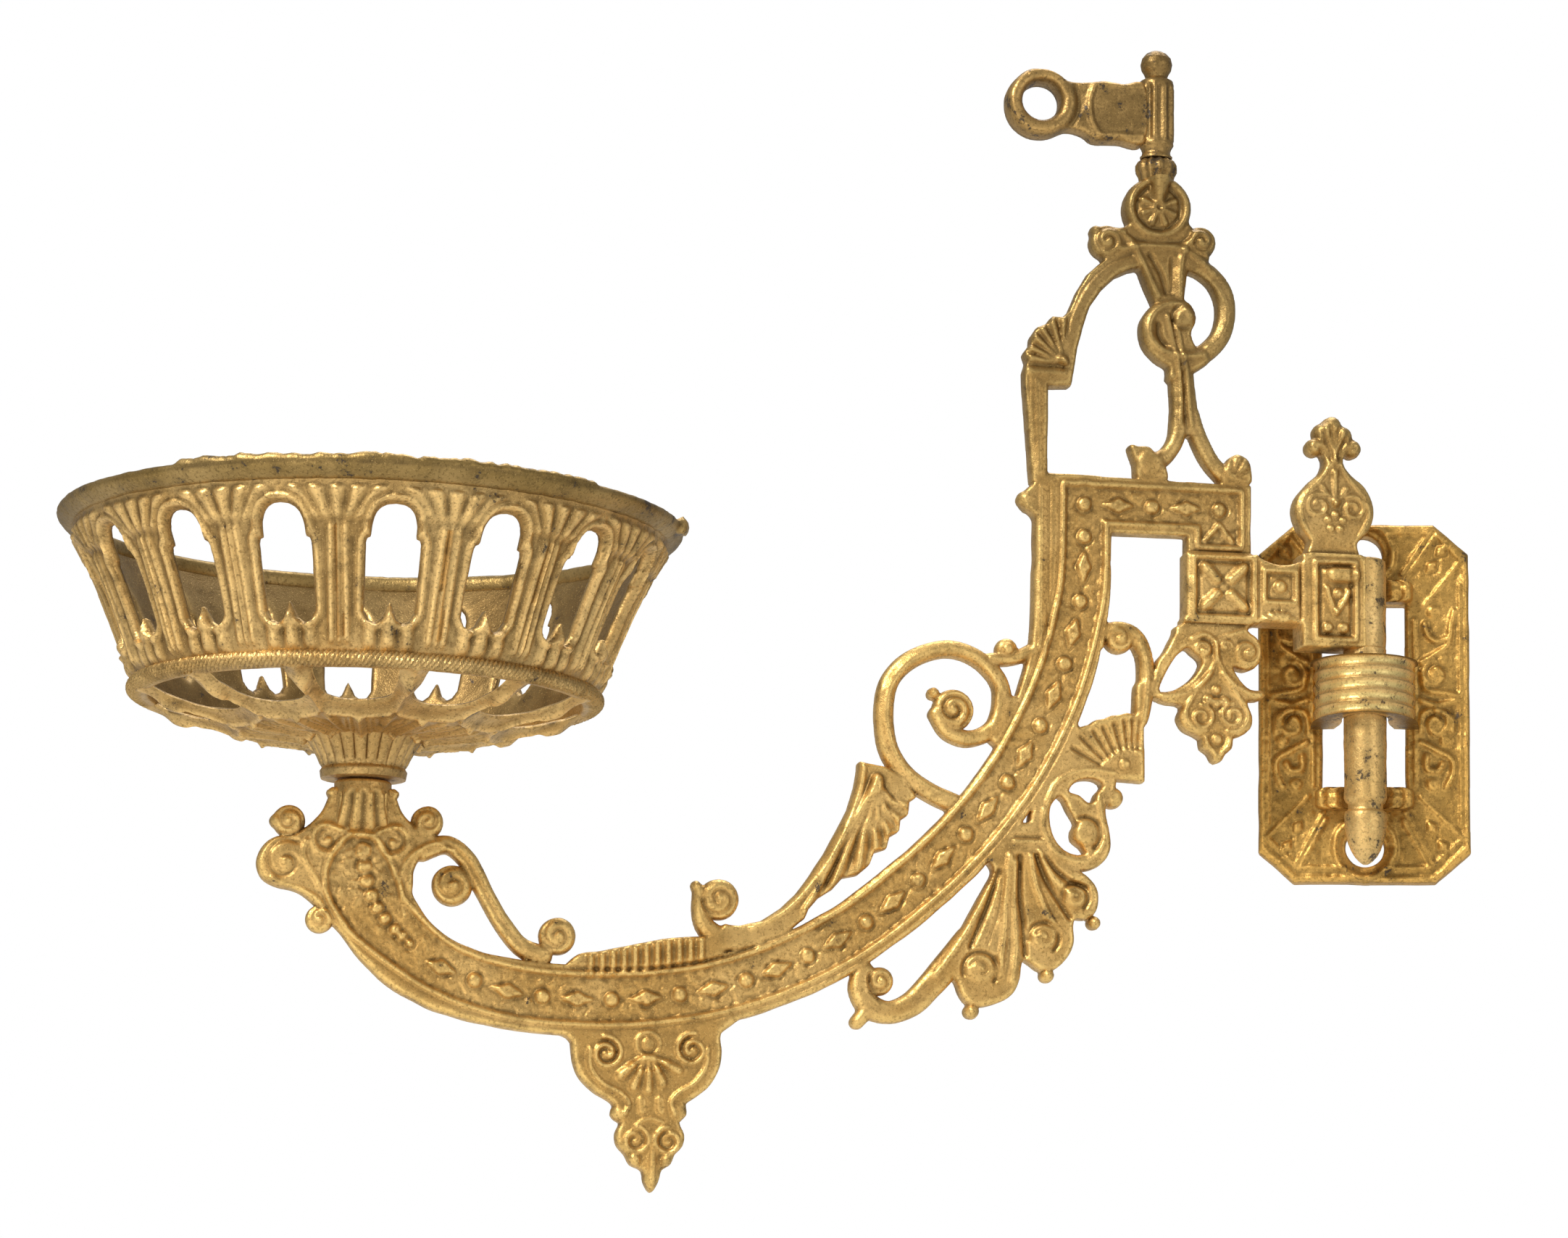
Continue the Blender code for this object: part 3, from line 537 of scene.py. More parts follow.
def head_relief(arm):
    for x, sign in ((-231.3, -1), (-217.3, 1)):
        arm.scroll(x, -41.4, 2.5, 90, -sign, 1.2, 0.5, 0.5)
        arm.ridge(arc(x, -41.4, 3.3, 0, 360), 0.8, 0.35)
    for x, z, r, start, hand in (
        (-239.7, -37.5, 3.0, -20, 1),
        (-209.9, -36.7, 3.0, 200, -1),
        (-240.2, -46.4, 4.9, 60, 1),
        (-232.4, -58.5, 2.5, 60, 1),
        (-204.1, -50.3, 3.9, 80, 1),
        (-181.0, -60.5, 3.5, 110, 1),
    ):
        arm.scroll(x, z, r, start, hand)
    # Bead string that dwindles down the panel, in a narrow channel
    string = curve([(-223.6, -43.6), (-222.6, -50.0), (-219.6, -56.6), (-213.0, -63.2)])
    arm.ridge(string, 2.6, -0.35)
    spots = [0.0, 0.16, 0.31, 0.45, 0.58, 0.70, 0.81, 0.91, 1.0]
    for i, spot in enumerate(spots):
        x, z = string[int(spot * (len(string) - 1))]
        arm.boss(x, z, 1.9 - 0.1 * i, 0.9, 0.2)
    # Collar of leaves under the neck
    for x in (-228.6, -226.3, -224.0, -221.7, -219.4):
        arm.ridge([(x, -31.0), (x, -37.0)], 1.0, 0.8)
    arm.vein([(-232.0, -38.6), (-228.0, -39.4), (-224.0, -40.6), (-220.0, -39.4),
               (-216.0, -38.4)], 0.8, 0.5)
    # Fillets that run from the band's borders round the large volute
    for path in (
        [(-226.5, -60.2), (-231.2, -53.4), (-235.0, -47.6), (-236.4, -44.4), (-235.8, -41.8)],
        [(-229.6, -60.0), (-233.4, -54.2), (-238.8, -52.0), (-243.4, -50.4)],
        [(-214.2, -57.4), (-215.4, -52.0), (-215.0, -47.4), (-212.6, -43.8), (-208.0, -41.6),
         (-204.4, -43.0)],
    ):
        arm.vein(path, 0.8, 0.45)
    arm.vein([(-210.0, -42.8), (-205.2, -41.8), (-200.9, -45.2), (-197.4, -51.2), (-193.7, -57.4),
               (-189.2, -62.6)], 0.9, -0.3)


def lower_outline(arm):
    arm.slab([(-177.6, -68.0), (-176.6, -64.6), (-171.0, -63.3), (-165.0, -62.1), (-158.0, -60.4),
              (-152.4, -59.9), (-146.0, -60.0), (-146.0, -66.0), (-160.0, -69.0)])
    arm.rod([(-150.2, -49.6, 1.3), (-150.1, -53.8, 1.5), (-148.4, -57.6, 2.0), (-144.4, -60.0, 2.5),
             (-138.0, -60.0, 3.0)])
    arm.ball(-145.9, -51.3, 4.3)
    arm.ball(-151.0, -48.4, 0.9)
    # Pleated wing leaf
    arm.slab(
        [
            (-115.5, -19.8), (-109.5, -20.8), (-105.5, -23.2), (-102.7, -27.2), (-104.2, -28.2),
            (-104.4, -31.2), (-106.1, -32.4), (-106.4, -34.9), (-108.5, -36.2), (-109.2, -38.8),
            (-111.9, -39.8), (-112.9, -42.6), (-115.4, -44.9), (-118.7, -45.6), (-120.9, -48.2),
            (-124.1, -50.2), (-126.3, -52.8), (-127.0, -54.8), (-132.0, -59.0), (-146.0, -63.0),
            (-146.6, -58.6), (-144.6, -56.6), (-141.5, -57.1), (-136.5, -55.8), (-132.0, -52.8),
            (-129.0, -49.8), (-125.7, -45.2), (-122.6, -40.2), (-119.9, -35.2), (-117.6, -30.2),
            (-116.1, -25.0), (-115.6, -22.0),
        ],
        smooth=False,
    )
    # Ring scroll with its ball, bud and link
    arm.rod([(-89.6, -30.6, 2.4), (-93.8, -28.3, 2.1), (-99.2, -26.0, 2.0), (-104.6, -22.4, 2.0),
             (-108.6, -16.8, 2.0), (-109.9, -9.0, 2.0), (-108.6, -1.4, 2.0), (-103.5, 3.9, 1.9),
             (-96.0, 6.4, 1.8), (-89.2, 4.6, 1.8), (-84.4, 0.0, 1.8), (-83.2, -5.6, 1.8),
             (-85.6, -11.2, 1.8), (-90.6, -13.6, 1.7), (-95.6, -12.2, 1.6), (-98.4, -8.4, 1.4)])
    arm.ball(-94.4, -7.4, 4.5)
    arm.ball(-98.9, -3.8, 1.2)
    arm.slab([(-84.6, 1.0), (-82.4, -3.8), (-80.0, -4.4), (-79.0, -12.0), (-84.0, -15.0),
              (-86.4, -12.6), (-85.2, -6.0)])
    arm.ball(-82.5, 6.7, 2.4)
    arm.rod([(-86.0, 4.4, 1.4), (-82.0, 4.6, 1.3), (-77.6, 6.2, 1.6), (-74.0, 8.0, 1.8)])
    # Pleated fan, loop curl and its leaf bud
    arm.slab(
        [
            (-68.0, -8.0), (-66.1, -10.3), (-63.8, -9.6), (-62.3, -8.5), (-60.4, -8.2),
            (-58.8, -7.4), (-57.0, -7.2), (-55.2, -6.6), (-53.4, -7.0), (-51.4, -5.8),
            (-51.3, -21.8), (-57.6, -21.6), (-60.4, -21.2), (-64.6, -20.9), (-68.4, -23.4),
            (-70.4, -26.2), (-78.0, -29.0), (-80.0, -18.0),
        ],
        smooth=False,
    )
    arm.slab([(-75.0, -24.0), (-70.0, -21.0), (-64.0, -20.2), (-58.4, -20.6), (-57.9, -23.6),
              (-60.0, -28.0), (-59.1, -33.2), (-58.8, -36.8), (-60.0, -39.6), (-62.4, -41.4),
              (-66.0, -42.1), (-70.0, -41.4), (-74.0, -38.8), (-77.0, -33.0)])
    arm.ball(-58.2, -25.7, 2.2, 0.2)
    arm.hole([(-70.4, -25.7), (-72.3, -28.0), (-72.7, -31.5), (-71.6, -35.2), (-69.2, -37.9),
              (-66.4, -38.9), (-64.4, -38.3), (-65.4, -36.9), (-67.3, -35.4), (-67.3, -33.2),
              (-66.6, -31.6), (-68.4, -28.6), (-69.4, -26.6)])
    arm.hole([(-68.4, -24.7), (-66.9, -22.5), (-64.2, -21.7), (-61.7, -22.0), (-60.7, -23.3),
              (-62.0, -24.9), (-62.9, -27.0), (-64.4, -27.0), (-66.0, -25.6)])
    # Lower palmette with its three curled lobes, and the scroll at its tail
    arm.slab(
        [
            (-86.4, -40.6), (-85.2, -43.0), (-86.6, -46.2), (-89.2, -50.8), (-91.7, -55.6),
            (-94.9, -60.4), (-97.0, -64.6), (-93.6, -67.0), (-92.2, -70.2), (-90.4, -72.4),
            (-87.6, -72.9), (-83.8, -71.9), (-80.8, -70.0), (-79.2, -66.6), (-78.4, -62.6),
            (-76.4, -63.4), (-74.4, -64.6), (-71.0, -64.0), (-68.4, -61.4), (-67.0, -58.0),
            (-67.2, -54.6), (-66.6, -52.9), (-64.2, -52.9), (-62.2, -51.4), (-61.6, -48.8),
            (-62.0, -46.0), (-63.8, -43.8), (-66.4, -42.2), (-71.0, -40.4), (-75.0, -37.0),
            (-77.0, -32.0), (-88.0, -36.0),
        ]
    )
    for x, z, r in ((-89.6, -74.0, 1.6), (-72.8, -65.6, 1.5), (-62.3, -53.6, 1.4)):
        arm.ball(x, z, r)
    arm.rod([(-90.5, -58.5, 3.0), (-95.2, -64.3, 2.9), (-98.8, -68.6, 2.8), (-103.0, -72.8, 2.6),
             (-107.8, -74.7, 2.4), (-112.2, -73.4, 2.5), (-114.4, -69.8, 2.3),
             (-113.6, -66.0, 2.2)])
    arm.ball(-110.1, -68.0, 3.0)
    arm.rod([(-113.4, -75.2, 1.6), (-114.9, -77.0, 1.5)])


def lower_relief(arm):
    for i in range(11):
        x = -173.8 + 2.4 * i
        top = -63.6 + 0.19 * (x + 172.0)
        arm.ridge([(x, top), (x + 0.1, top - 5.0)], 1.1, 0.9)
    arm.vein([(-178.0, -67.2), (-165.0, -67.4), (-150.0, -65.4), (-138.0, -61.6)], 0.7, -0.4)
    arm.scroll(-145.9, -51.3, 3.9, 180, 1)
    # Pleats of the wing leaf, with a raised spine along its long side
    for tip in ((-103.8, -30.0), (-105.4, -33.8), (-107.8, -37.8), (-111.2, -41.6),
                (-115.6, -45.2), (-121.2, -48.4), (-127.0, -53.4)):
        middle = ((tip[0] - 113.6) / 2, (tip[1] - 26.6) / 2)
        arm.ridge([(-111.6, -23.8), middle, tip], 1.3, 0.75)
    arm.fan((-111.4, -24.0), [(-104.3, -31.6), (-106.6, -35.4), (-109.6, -39.4), (-113.4, -43.4),
                              (-118.6, -46.6), (-124.2, -50.6)], 0.7, 0.5)
    arm.vein([(-114.6, -20.6), (-115.2, -26.0), (-118.0, -33.4), (-122.0, -41.6), (-127.2, -49.4),
               (-132.6, -54.4), (-138.6, -57.4)], 1.0, 0.6)
    arm.scroll(-94.4, -7.4, 4.0, -60, 1, 1.3, 0.8, 0.7)
    ring = [(-99.2, -25.2), (-105.4, -20.6), (-109.0, -13.0), (-109.2, -4.6), (-104.4, 2.9),
            (-96.0, 6.2), (-88.8, 3.9), (-84.2, -2.2)]
    arm.vein(ring, 1.2, 0.3)
    arm.boss(-82.5, 6.7, 1.3, 0.3)
    # Flutes of the fan, spreading from a small hub
    for foot, tip in (
        ((-52.8, -14.8), (-52.4, -8.2)), ((-53.9, -14.9), (-54.0, -8.0)),
        ((-55.1, -15.1), (-55.9, -8.4)), ((-56.4, -15.4), (-58.2, -9.2)),
        ((-58.0, -15.9), (-60.7, -10.2)), ((-59.3, -16.6), (-62.9, -11.0)),
        ((-60.6, -17.4), (-65.9, -12.4)), ((-61.4, -18.4), (-67.8, -15.0)),
    ):
        arm.ridge([foot, tip], 0.6, -0.75)
    arm.ridge(arc(-54.8, -20.6, 5.6, 60, 150), 0.7, 0.45)
    arm.boss(-55.8, -18.2, 1.3, 0.35, 0.2)
    arm.vein([(-73.4, -27.4), (-71.6, -23.4), (-67.8, -20.7), (-63.4, -19.8), (-58.4, -20.4)],
              0.8, 0.45)
    # Curl below the fan
    arm.dome(-64.8, -33.8, 3.0, 0.8)
    arm.ridge(arc(-64.6, -34.0, 3.7, -60, 130), 0.7, -0.6)
    arm.vein([(-61.9, -25.2), (-61.2, -30.0), (-60.7, -35.4), (-62.4, -39.0), (-66.2, -40.4),
               (-71.4, -38.4), (-74.2, -33.6), (-74.0, -29.0)], 0.8, 0.4)
    # Palmette: pillowed lobes parted by grooves, with a coiled disc at each end
    arm.ridge([(-80.6, -35.2), (-74.6, -35.2)], 0.5, -0.5)
    arm.ridge([(-80.6, -36.3), (-74.6, -36.3)], 0.7, 0.4)
    for path in (
        [(-84.0, -43.0), (-86.6, -51.0), (-90.2, -60.0)],
        [(-79.3, -39.6), (-79.3, -48.0), (-78.5, -54.0), (-78.0, -61.6)],
        [(-75.6, -39.2), (-73.5, -44.6), (-70.2, -49.8), (-68.0, -52.9)],
        [(-73.8, -39.4), (-71.0, -42.6), (-67.6, -45.0), (-64.4, -46.0)],
    ):
        arm.vein(path, 0.9, -0.85)
    for path in (
        [(-81.6, -39.6), (-82.4, -48.0), (-82.8, -57.0), (-84.0, -66.0)],
        [(-86.0, -45.0), (-89.4, -53.0), (-93.6, -60.4), (-98.0, -66.4)],
        [(-77.0, -39.4), (-75.8, -46.0), (-73.2, -52.0), (-71.0, -55.8)],
        [(-74.8, -38.4), (-72.2, -43.6), (-68.2, -47.4)],
        [(-80.4, -41.0), (-80.8, -50.0), (-80.2, -60.0), (-81.0, -67.0)],
    ):
        arm.vein(path, 1.2, 0.55)
    arm.vein([(-83.0, -44.0), (-84.2, -52.0), (-86.6, -59.6)], 0.6, -0.35)
    for x, z, r, start in (
        (-88.0, -64.9, 3.3, 160), (-73.9, -57.5, 2.8, 150), (-66.9, -48.2, 2.4, 150)
    ):
        arm.dome(x, z, r, 0.75)
        arm.ridge(arc(x, z, r + 0.7, start - 200, start + 40), 0.6, -0.6)
        arm.scroll(x, z, r * 0.75, start, -1, 0.8, 0.5, 0.45)
    arm.scroll(-110.1, -68.0, 2.7, 150, 1)


def pendant_outline(arm):
    arm.slab(
        [
            (-178.4, -80.0), (-177.4, -83.2), (-176.8, -87.4), (-175.4, -90.6), (-172.4, -93.6),
            (-169.4, -95.4), (-167.9, -96.8), (-168.2, -98.6), (-166.4, -100.2), (-167.2, -102.6),
            (-166.8, -105.2), (-165.0, -107.2), (-163.8, -109.2), (-161.4, -110.4),
            (-160.9, -112.8), (-159.4, -115.0), (-157.9, -112.8), (-157.2, -110.2),
            (-155.4, -109.0), (-154.6, -107.0), (-153.0, -105.2), (-152.6, -102.6),
            (-153.6, -100.0), (-152.2, -98.4), (-152.4, -96.0), (-150.0, -94.2), (-147.0, -91.5),
            (-145.2, -88.0), (-144.7, -84.4), (-145.0, -80.6), (-142.0, -76.4), (-160.0, -74.0),
        ]
    )
    arm.ball(-166.4, -98.2, 1.8)
    arm.ball(-154.2, -97.3, 2.0)


def pendant_relief(arm):
    for x, z, hand, start in ((-169.9, -85.6, -1, 100), (-151.2, -84.4, 1, 80)):
        arm.ridge(spiral(x, z, 3.7, 1.4, start, hand, 0.3), 0.75, 0.6)
        arm.scroll(x, z, 2.9, start + 20, hand, 1.2, 0.5, 0.5)
    # S ridges from the volutes down to the waist
    arm.vein([(-173.4, -84.6), (-173.2, -88.6), (-170.6, -92.0), (-166.6, -94.0), (-164.7, -96.4),
               (-165.6, -98.6)], 0.7, 0.6)
    arm.vein([(-147.8, -84.0), (-148.2, -88.0), (-150.4, -91.4), (-153.6, -93.4), (-155.6, -95.8),
               (-154.8, -98.4)], 0.7, 0.6)
    arm.ridge(arc(-160.8, -83.4, 2.5, 0, 360), 0.7, 0.5)
    arm.boss(-160.8, -83.4, 1.7, 0.4, 0.2)
    for tip in ((-166.6, -90.2), (-163.8, -92.6), (-160.6, -93.2), (-157.6, -91.7),
                (-154.2, -88.9)):
        base = (-160.8 + 0.22 * (tip[0] + 160.8), -86.4)
        middle = ((base[0] + tip[0]) / 2, (base[1] + tip[1]) / 2)
        arm.ridge([base, middle], 0.9, 0.8)
        arm.ridge([middle, tip], 1.5, 0.8)
    for x in (-162.0, -158.0):
        arm.ridge([(x, -95.4), (x + 0.3, -97.8)], 1.2, 0.6)
        arm.ridge([(x, -95.4), (x + 0.3, -97.8)], 0.5, -0.4)
    for x, hand in ((-163.1, -1), (-156.0, 1)):
        arm.ridge(spiral(x, -104.2, 3.1, 1.0, 90, hand, 0.6), 0.7, 0.55)
        arm.scroll(x, -104.2, 2.0, 100, hand, 1.1, 0.5, 0.45)
    arm.ridge(arc(-159.8, -103.4, 4.0, 50, 130), 0.6, 0.5)
    for x in (-163.3, -156.2):
        arm.boss(x, -108.3, 1.4, 0.5, 0.3)
    arm.ridge([(-159.4, -103.0), (-159.4, -113.6)], 1.1, 0.5)


def frame_outline(arm):
    arm.slab([(-76.3, 8.0), (-60.6, 8.0), (-59.4, 20.0), (-58.9, 34.2), (-41.6, 34.2),
              (-41.6, 30.6), (-27.0, 30.6), (-26.9, 46.3), (-77.0, 47.2), (-76.4, 40.0)],
             smooth=False, soft=0.9)
    arm.ball(-78.6, 41.1, 1.7)
    arm.slab([(-78.6, 43.0), (-75.0, 45.0), (-75.0, 36.6), (-77.4, 38.2), (-79.2, 39.4)])
    # Flower block and link neck are thicker than the rest
    for x0, z0, x1, z1, half in ((-42.0, 14.8, -25.5, 30.3, 3.9), (-25.7, 15.0, -14.6, 30.2, 4.3)):
        dip = arc((x0 + x1) / 2, 38.2, 9.9, -56, -124, 9) if x0 > -30 else []
        arm.slab([(x0, z1), (x0, z0), (x1, z0), (x1, z1), *dip], smooth=False, soft=0.3)
        at = arm.near([(x0, z0), (x1, z1)], 0.2)
        arm.thick[at] = half
    arm.slab([(-15.6, 9.9), (-0.6, 9.9), (-0.6, 31.1), (-15.6, 31.1)], smooth=False, soft=0.2)
    at = arm.near([(-15.5, 9.9), (-0.6, 31.1)], 0.0)
    arm.thick[at] = 4.8
    # Palmette finial
    arm.slab(
        [
            (-13.5, 30.0), (-13.2, 34.4), (-15.2, 36.8), (-16.7, 40.6), (-16.1, 44.2),
            (-13.6, 47.6), (-10.8, 50.2), (-9.7, 52.6), (-9.6, 56.0), (-5.6, 56.0), (-5.4, 52.6),
            (-3.8, 50.2), (-0.7, 47.4), (1.2, 44.2), (1.5, 40.6), (0.2, 37.0), (-2.3, 34.2),
            (-2.4, 30.0),
        ]
    )
    for x, z, r in ((-11.9, 56.2, 1.9), (-3.2, 56.2, 2.0), (-10.0, 59.8, 2.0), (-5.2, 59.2, 1.9),
                    (-7.8, 61.4, 2.1)):
        arm.ball(x, z, r, 0.5, 1.2)
    arm.slab([(-9.6, 54.0), (-11.4, 58.6), (-8.8, 62.4), (-5.6, 60.8), (-4.0, 57.6), (-5.6, 54.0)])


def frame_relief(arm):
    arm.ridge([(-73.4, 7.0), (-73.4, 44.0)], 0.5, -0.35)
    arm.ridge([(-75.2, 7.0), (-75.2, 44.0)], 0.6, 0.3)
    arm.ridge([(-37.6, 33.2), (-34.3, 37.2), (-31.2, 33.2)], 0.7, 0.75)
    # Flower block: raised frame, four petals and a square eye
    cx, cz = -33.5, 22.6
    for half, height in ((6.9, 0.6), (5.7, -0.5)):
        arm.ridge(square(cx, cz, half), 0.75, height, closed=True)
    for sx in (-1, 1):
        for sz in (-1, 1):
            arm.ridge([(cx + 1.6 * sx, cz + 1.6 * sz), (cx + 4.6 * sx, cz + 4.6 * sz)], 1.8, 1.0)
    arm.boss(cx, cz, 0.9, 0.4, 0.2)
    # Link neck: nested squares round a stud, and a half shell below
    for half, height in ((3.7, 0.5), (2.6, -0.5)):
        arm.ridge(square(-20.6, 23.2, half), 0.6, height, closed=True)
    arm.boss(-20.6, 23.2, 1.5, 0.6)
    away = np.hypot((arm.X + 20.8) / 4.2, (arm.Z - 15.0) / 2.6)
    arm.relief += round_top(away, 1.0, 0.9)
    for turn in (30, 60, 90, 120, 150):
        arm.ridge([(-20.8, 14.8), arc(-20.8, 15.0, 3.4, turn, turn, 1)[0]], 0.45, -0.45)
    for sign in (-1, 1):
        arm.ridge([(-20.6 + 4.9 * sign, 16.0), (-20.6 + 4.9 * sign, 29.0)], 0.5, -0.4)
    # Hinge block: a framed panel with a plain oval, a sprig and two studs
    arm.ridge([(-12.6, 11.6), (-3.2, 11.6), (-3.2, 29.4), (-12.6, 29.4)], 0.75, 0.6, closed=True)
    arm.ridge([(-11.4, 12.8), (-4.4, 12.8), (-4.4, 28.2), (-11.4, 28.2)], 0.55, -0.55,
              closed=True)
    away = line_distance(arm.X, arm.Z, np.array([(-8.4, 26.4), (-4.4, 26.4)]))
    arm.relief += round_top(away, 1.9, 1.3)
    arm.vein([(-10.0, 23.4), (-9.2, 20.6), (-8.0, 17.6)], 0.8, 0.6)
    arm.vein([(-5.0, 22.8), (-6.4, 20.0), (-8.0, 17.6)], 0.9, 0.8)
    arm.boss(-7.4, 22.2, 1.2, 0.6, 0.2)
    for sign in (-1, 1):
        arm.boss(-8.0 + 1.8 * sign, 14.4, 1.2, 0.5, 0.3)
        arm.boss(-8.0 + 1.8 * sign, 14.4, 0.5, -0.3, 0.0)
    # Palmette finial: scrolls, a small flower, leaves
    arm.vein([(-13.6, 35.4), (-15.4, 40.4), (-14.4, 44.6), (-10.6, 49.0), (-8.6, 52.4),
               (-7.6, 49.6), (-6.6, 52.4), (-4.4, 49.0), (-0.8, 44.6), (0.2, 40.4), (-2.2, 35.4)],
              0.6, 0.45)
    arm.ridge(spiral(-11.4, 42.4, 3.0, 1.3, 60, 1, 0.3), 0.7, 0.6)
    arm.ridge(spiral(-3.4, 42.0, 3.0, 1.3, 120, -1, 0.3), 0.7, 0.6)
    for turn in range(5):
        x, z = arc(-7.4, 38.8, 1.7, 90 + 72 * turn, 90, 1)[0]
        arm.boss(x, z, 0.95, 0.55, 0.15)
    arm.boss(-7.4, 38.8, 0.8, 0.4, 0.1)
    for tip in ((-10.6, 47.0), (-4.8, 46.6), (-7.6, 50.0)):
        arm.ridge([(-7.6, 42.8), tip], 0.9, 0.55)
    for x in (-8.9, -7.6, -6.3):
        arm.ridge([(-7.6, 53.0), (x + 0.6 * (x + 7.6), 60.6)], 0.6, 0.5)
    arm.fan((-7.6, 53.0), [(-12.2, 56.4), (-10.6, 60.0), (-4.4, 59.6), (-2.8, 56.4)], 0.5, 0.5)


def drop_outline(arm):
    """Pendant under the flower block, the link to it, and the scroll stem beside it."""
    arm.slab([(-42.0, 15.6), (-44.6, 11.6), (-46.6, 7.6), (-48.4, 5.2), (-49.6, 0.0), (-49.4, -2.4),
              (-46.4, -3.8), (-42.8, -4.4), (-43.4, -7.0), (-42.0, -9.6), (-39.4, -10.9),
              (-38.3, -11.6), (-38.0, -13.6), (-36.4, -14.8), (-35.6, -16.4), (-34.6, -16.9),
              (-33.6, -16.4), (-32.8, -14.8), (-31.4, -13.6), (-31.0, -11.2), (-29.4, -10.6),
              (-27.2, -9.0), (-26.7, -6.2), (-27.6, -2.9), (-25.0, -2.4), (-23.7, -1.4),
              (-24.2, -0.4), (-27.0, -0.2), (-29.4, 1.8), (-31.0, 4.8), (-28.0, 4.3),
              (-25.2, 5.6), (-24.4, 8.6), (-25.4, 11.4), (-27.6, 13.2), (-27.4, 15.6)])
    arm.hole([(-48.0, -0.9), (-46.2, 3.4), (-43.8, 7.1), (-41.5, 8.8), (-40.3, 8.0), (-38.4, 6.2),
              (-38.6, 4.4), (-40.8, 1.4), (-43.8, -0.7), (-46.6, -1.5)])
    arm.hole([(-43.2, 16.4), (-42.6, 14.4), (-43.6, 13.6), (-48.0, 13.0), (-48.0, 16.4)])
    arm.rod([(-60.6, 11.6, 1.8), (-56.6, 12.2, 1.9), (-53.2, 10.8, 1.9), (-51.2, 7.0, 1.7),
             (-50.6, 2.0, 1.8), (-51.2, -3.0, 1.7), (-52.2, -8.0, 1.6)])
    arm.ball(-57.0, 10.4, 3.3, 0.4)
    arm.slab([(-53.0, 0.0), (-53.0, -8.6), (-50.8, -8.6), (-49.4, -3.0), (-49.2, 1.0)])


def drop_relief(arm):
    for x, z, r, start, hand in ((-37.9, 8.2, 2.5, 100, -1), (-27.9, 8.1, 3.0, 130, -1),
                                 (-33.0, 9.2, 2.0, 60, 1)):
        arm.dome(x, z, r, 0.6)
        arm.scroll(x, z, r, start, hand, 1.1, 0.6, 0.5)
    for path in (
        [(-40.6, 10.6), (-37.6, 11.8), (-35.2, 9.8), (-35.4, 5.4), (-38.0, 1.4), (-42.4, -1.8),
         (-47.6, -2.5)],
        [(-27.0, 13.2), (-31.0, 12.2), (-35.0, 10.0), (-34.4, 5.6), (-31.6, 1.4), (-28.0, -1.0),
         (-24.6, -1.4)],
        [(-36.4, 3.0), (-39.8, -1.4), (-42.0, -5.8), (-40.4, -9.4), (-37.2, -10.0)],
        [(-33.8, 3.0), (-30.4, -1.4), (-27.8, -5.8), (-29.4, -9.2), (-32.4, -10.0)],
        [(-37.6, -11.6), (-36.8, -13.8), (-34.7, -15.8), (-32.6, -13.8), (-31.8, -11.6)],
    ):
        arm.vein(path, 0.8, 0.5)
    for x, z, hand in ((-38.4, -7.0, -1), (-31.2, -6.4, 1)):
        arm.ridge(spiral(x, z, 2.9, 1.3, 90, hand, 0.3), 0.65, 0.7)
    # Small trefoil in the middle and a stud at the point
    for x, z, r in ((-35.0, -0.6, 1.0), (-36.8, -3.0, 1.2), (-33.2, -3.2, 1.2), (-35.0, -3.6, 1.2)):
        arm.boss(x, z, r, 0.6, 0.25)
    arm.boss(-34.8, -11.8, 1.3, 0.45)
    arm.scroll(-57.2, 10.2, 2.6, 90, -1, 1.0, 0.45)
    arm.vein([(-52.4, 9.0), (-51.0, 4.0), (-50.8, -1.0), (-51.4, -7.0)], 0.8, 0.3)


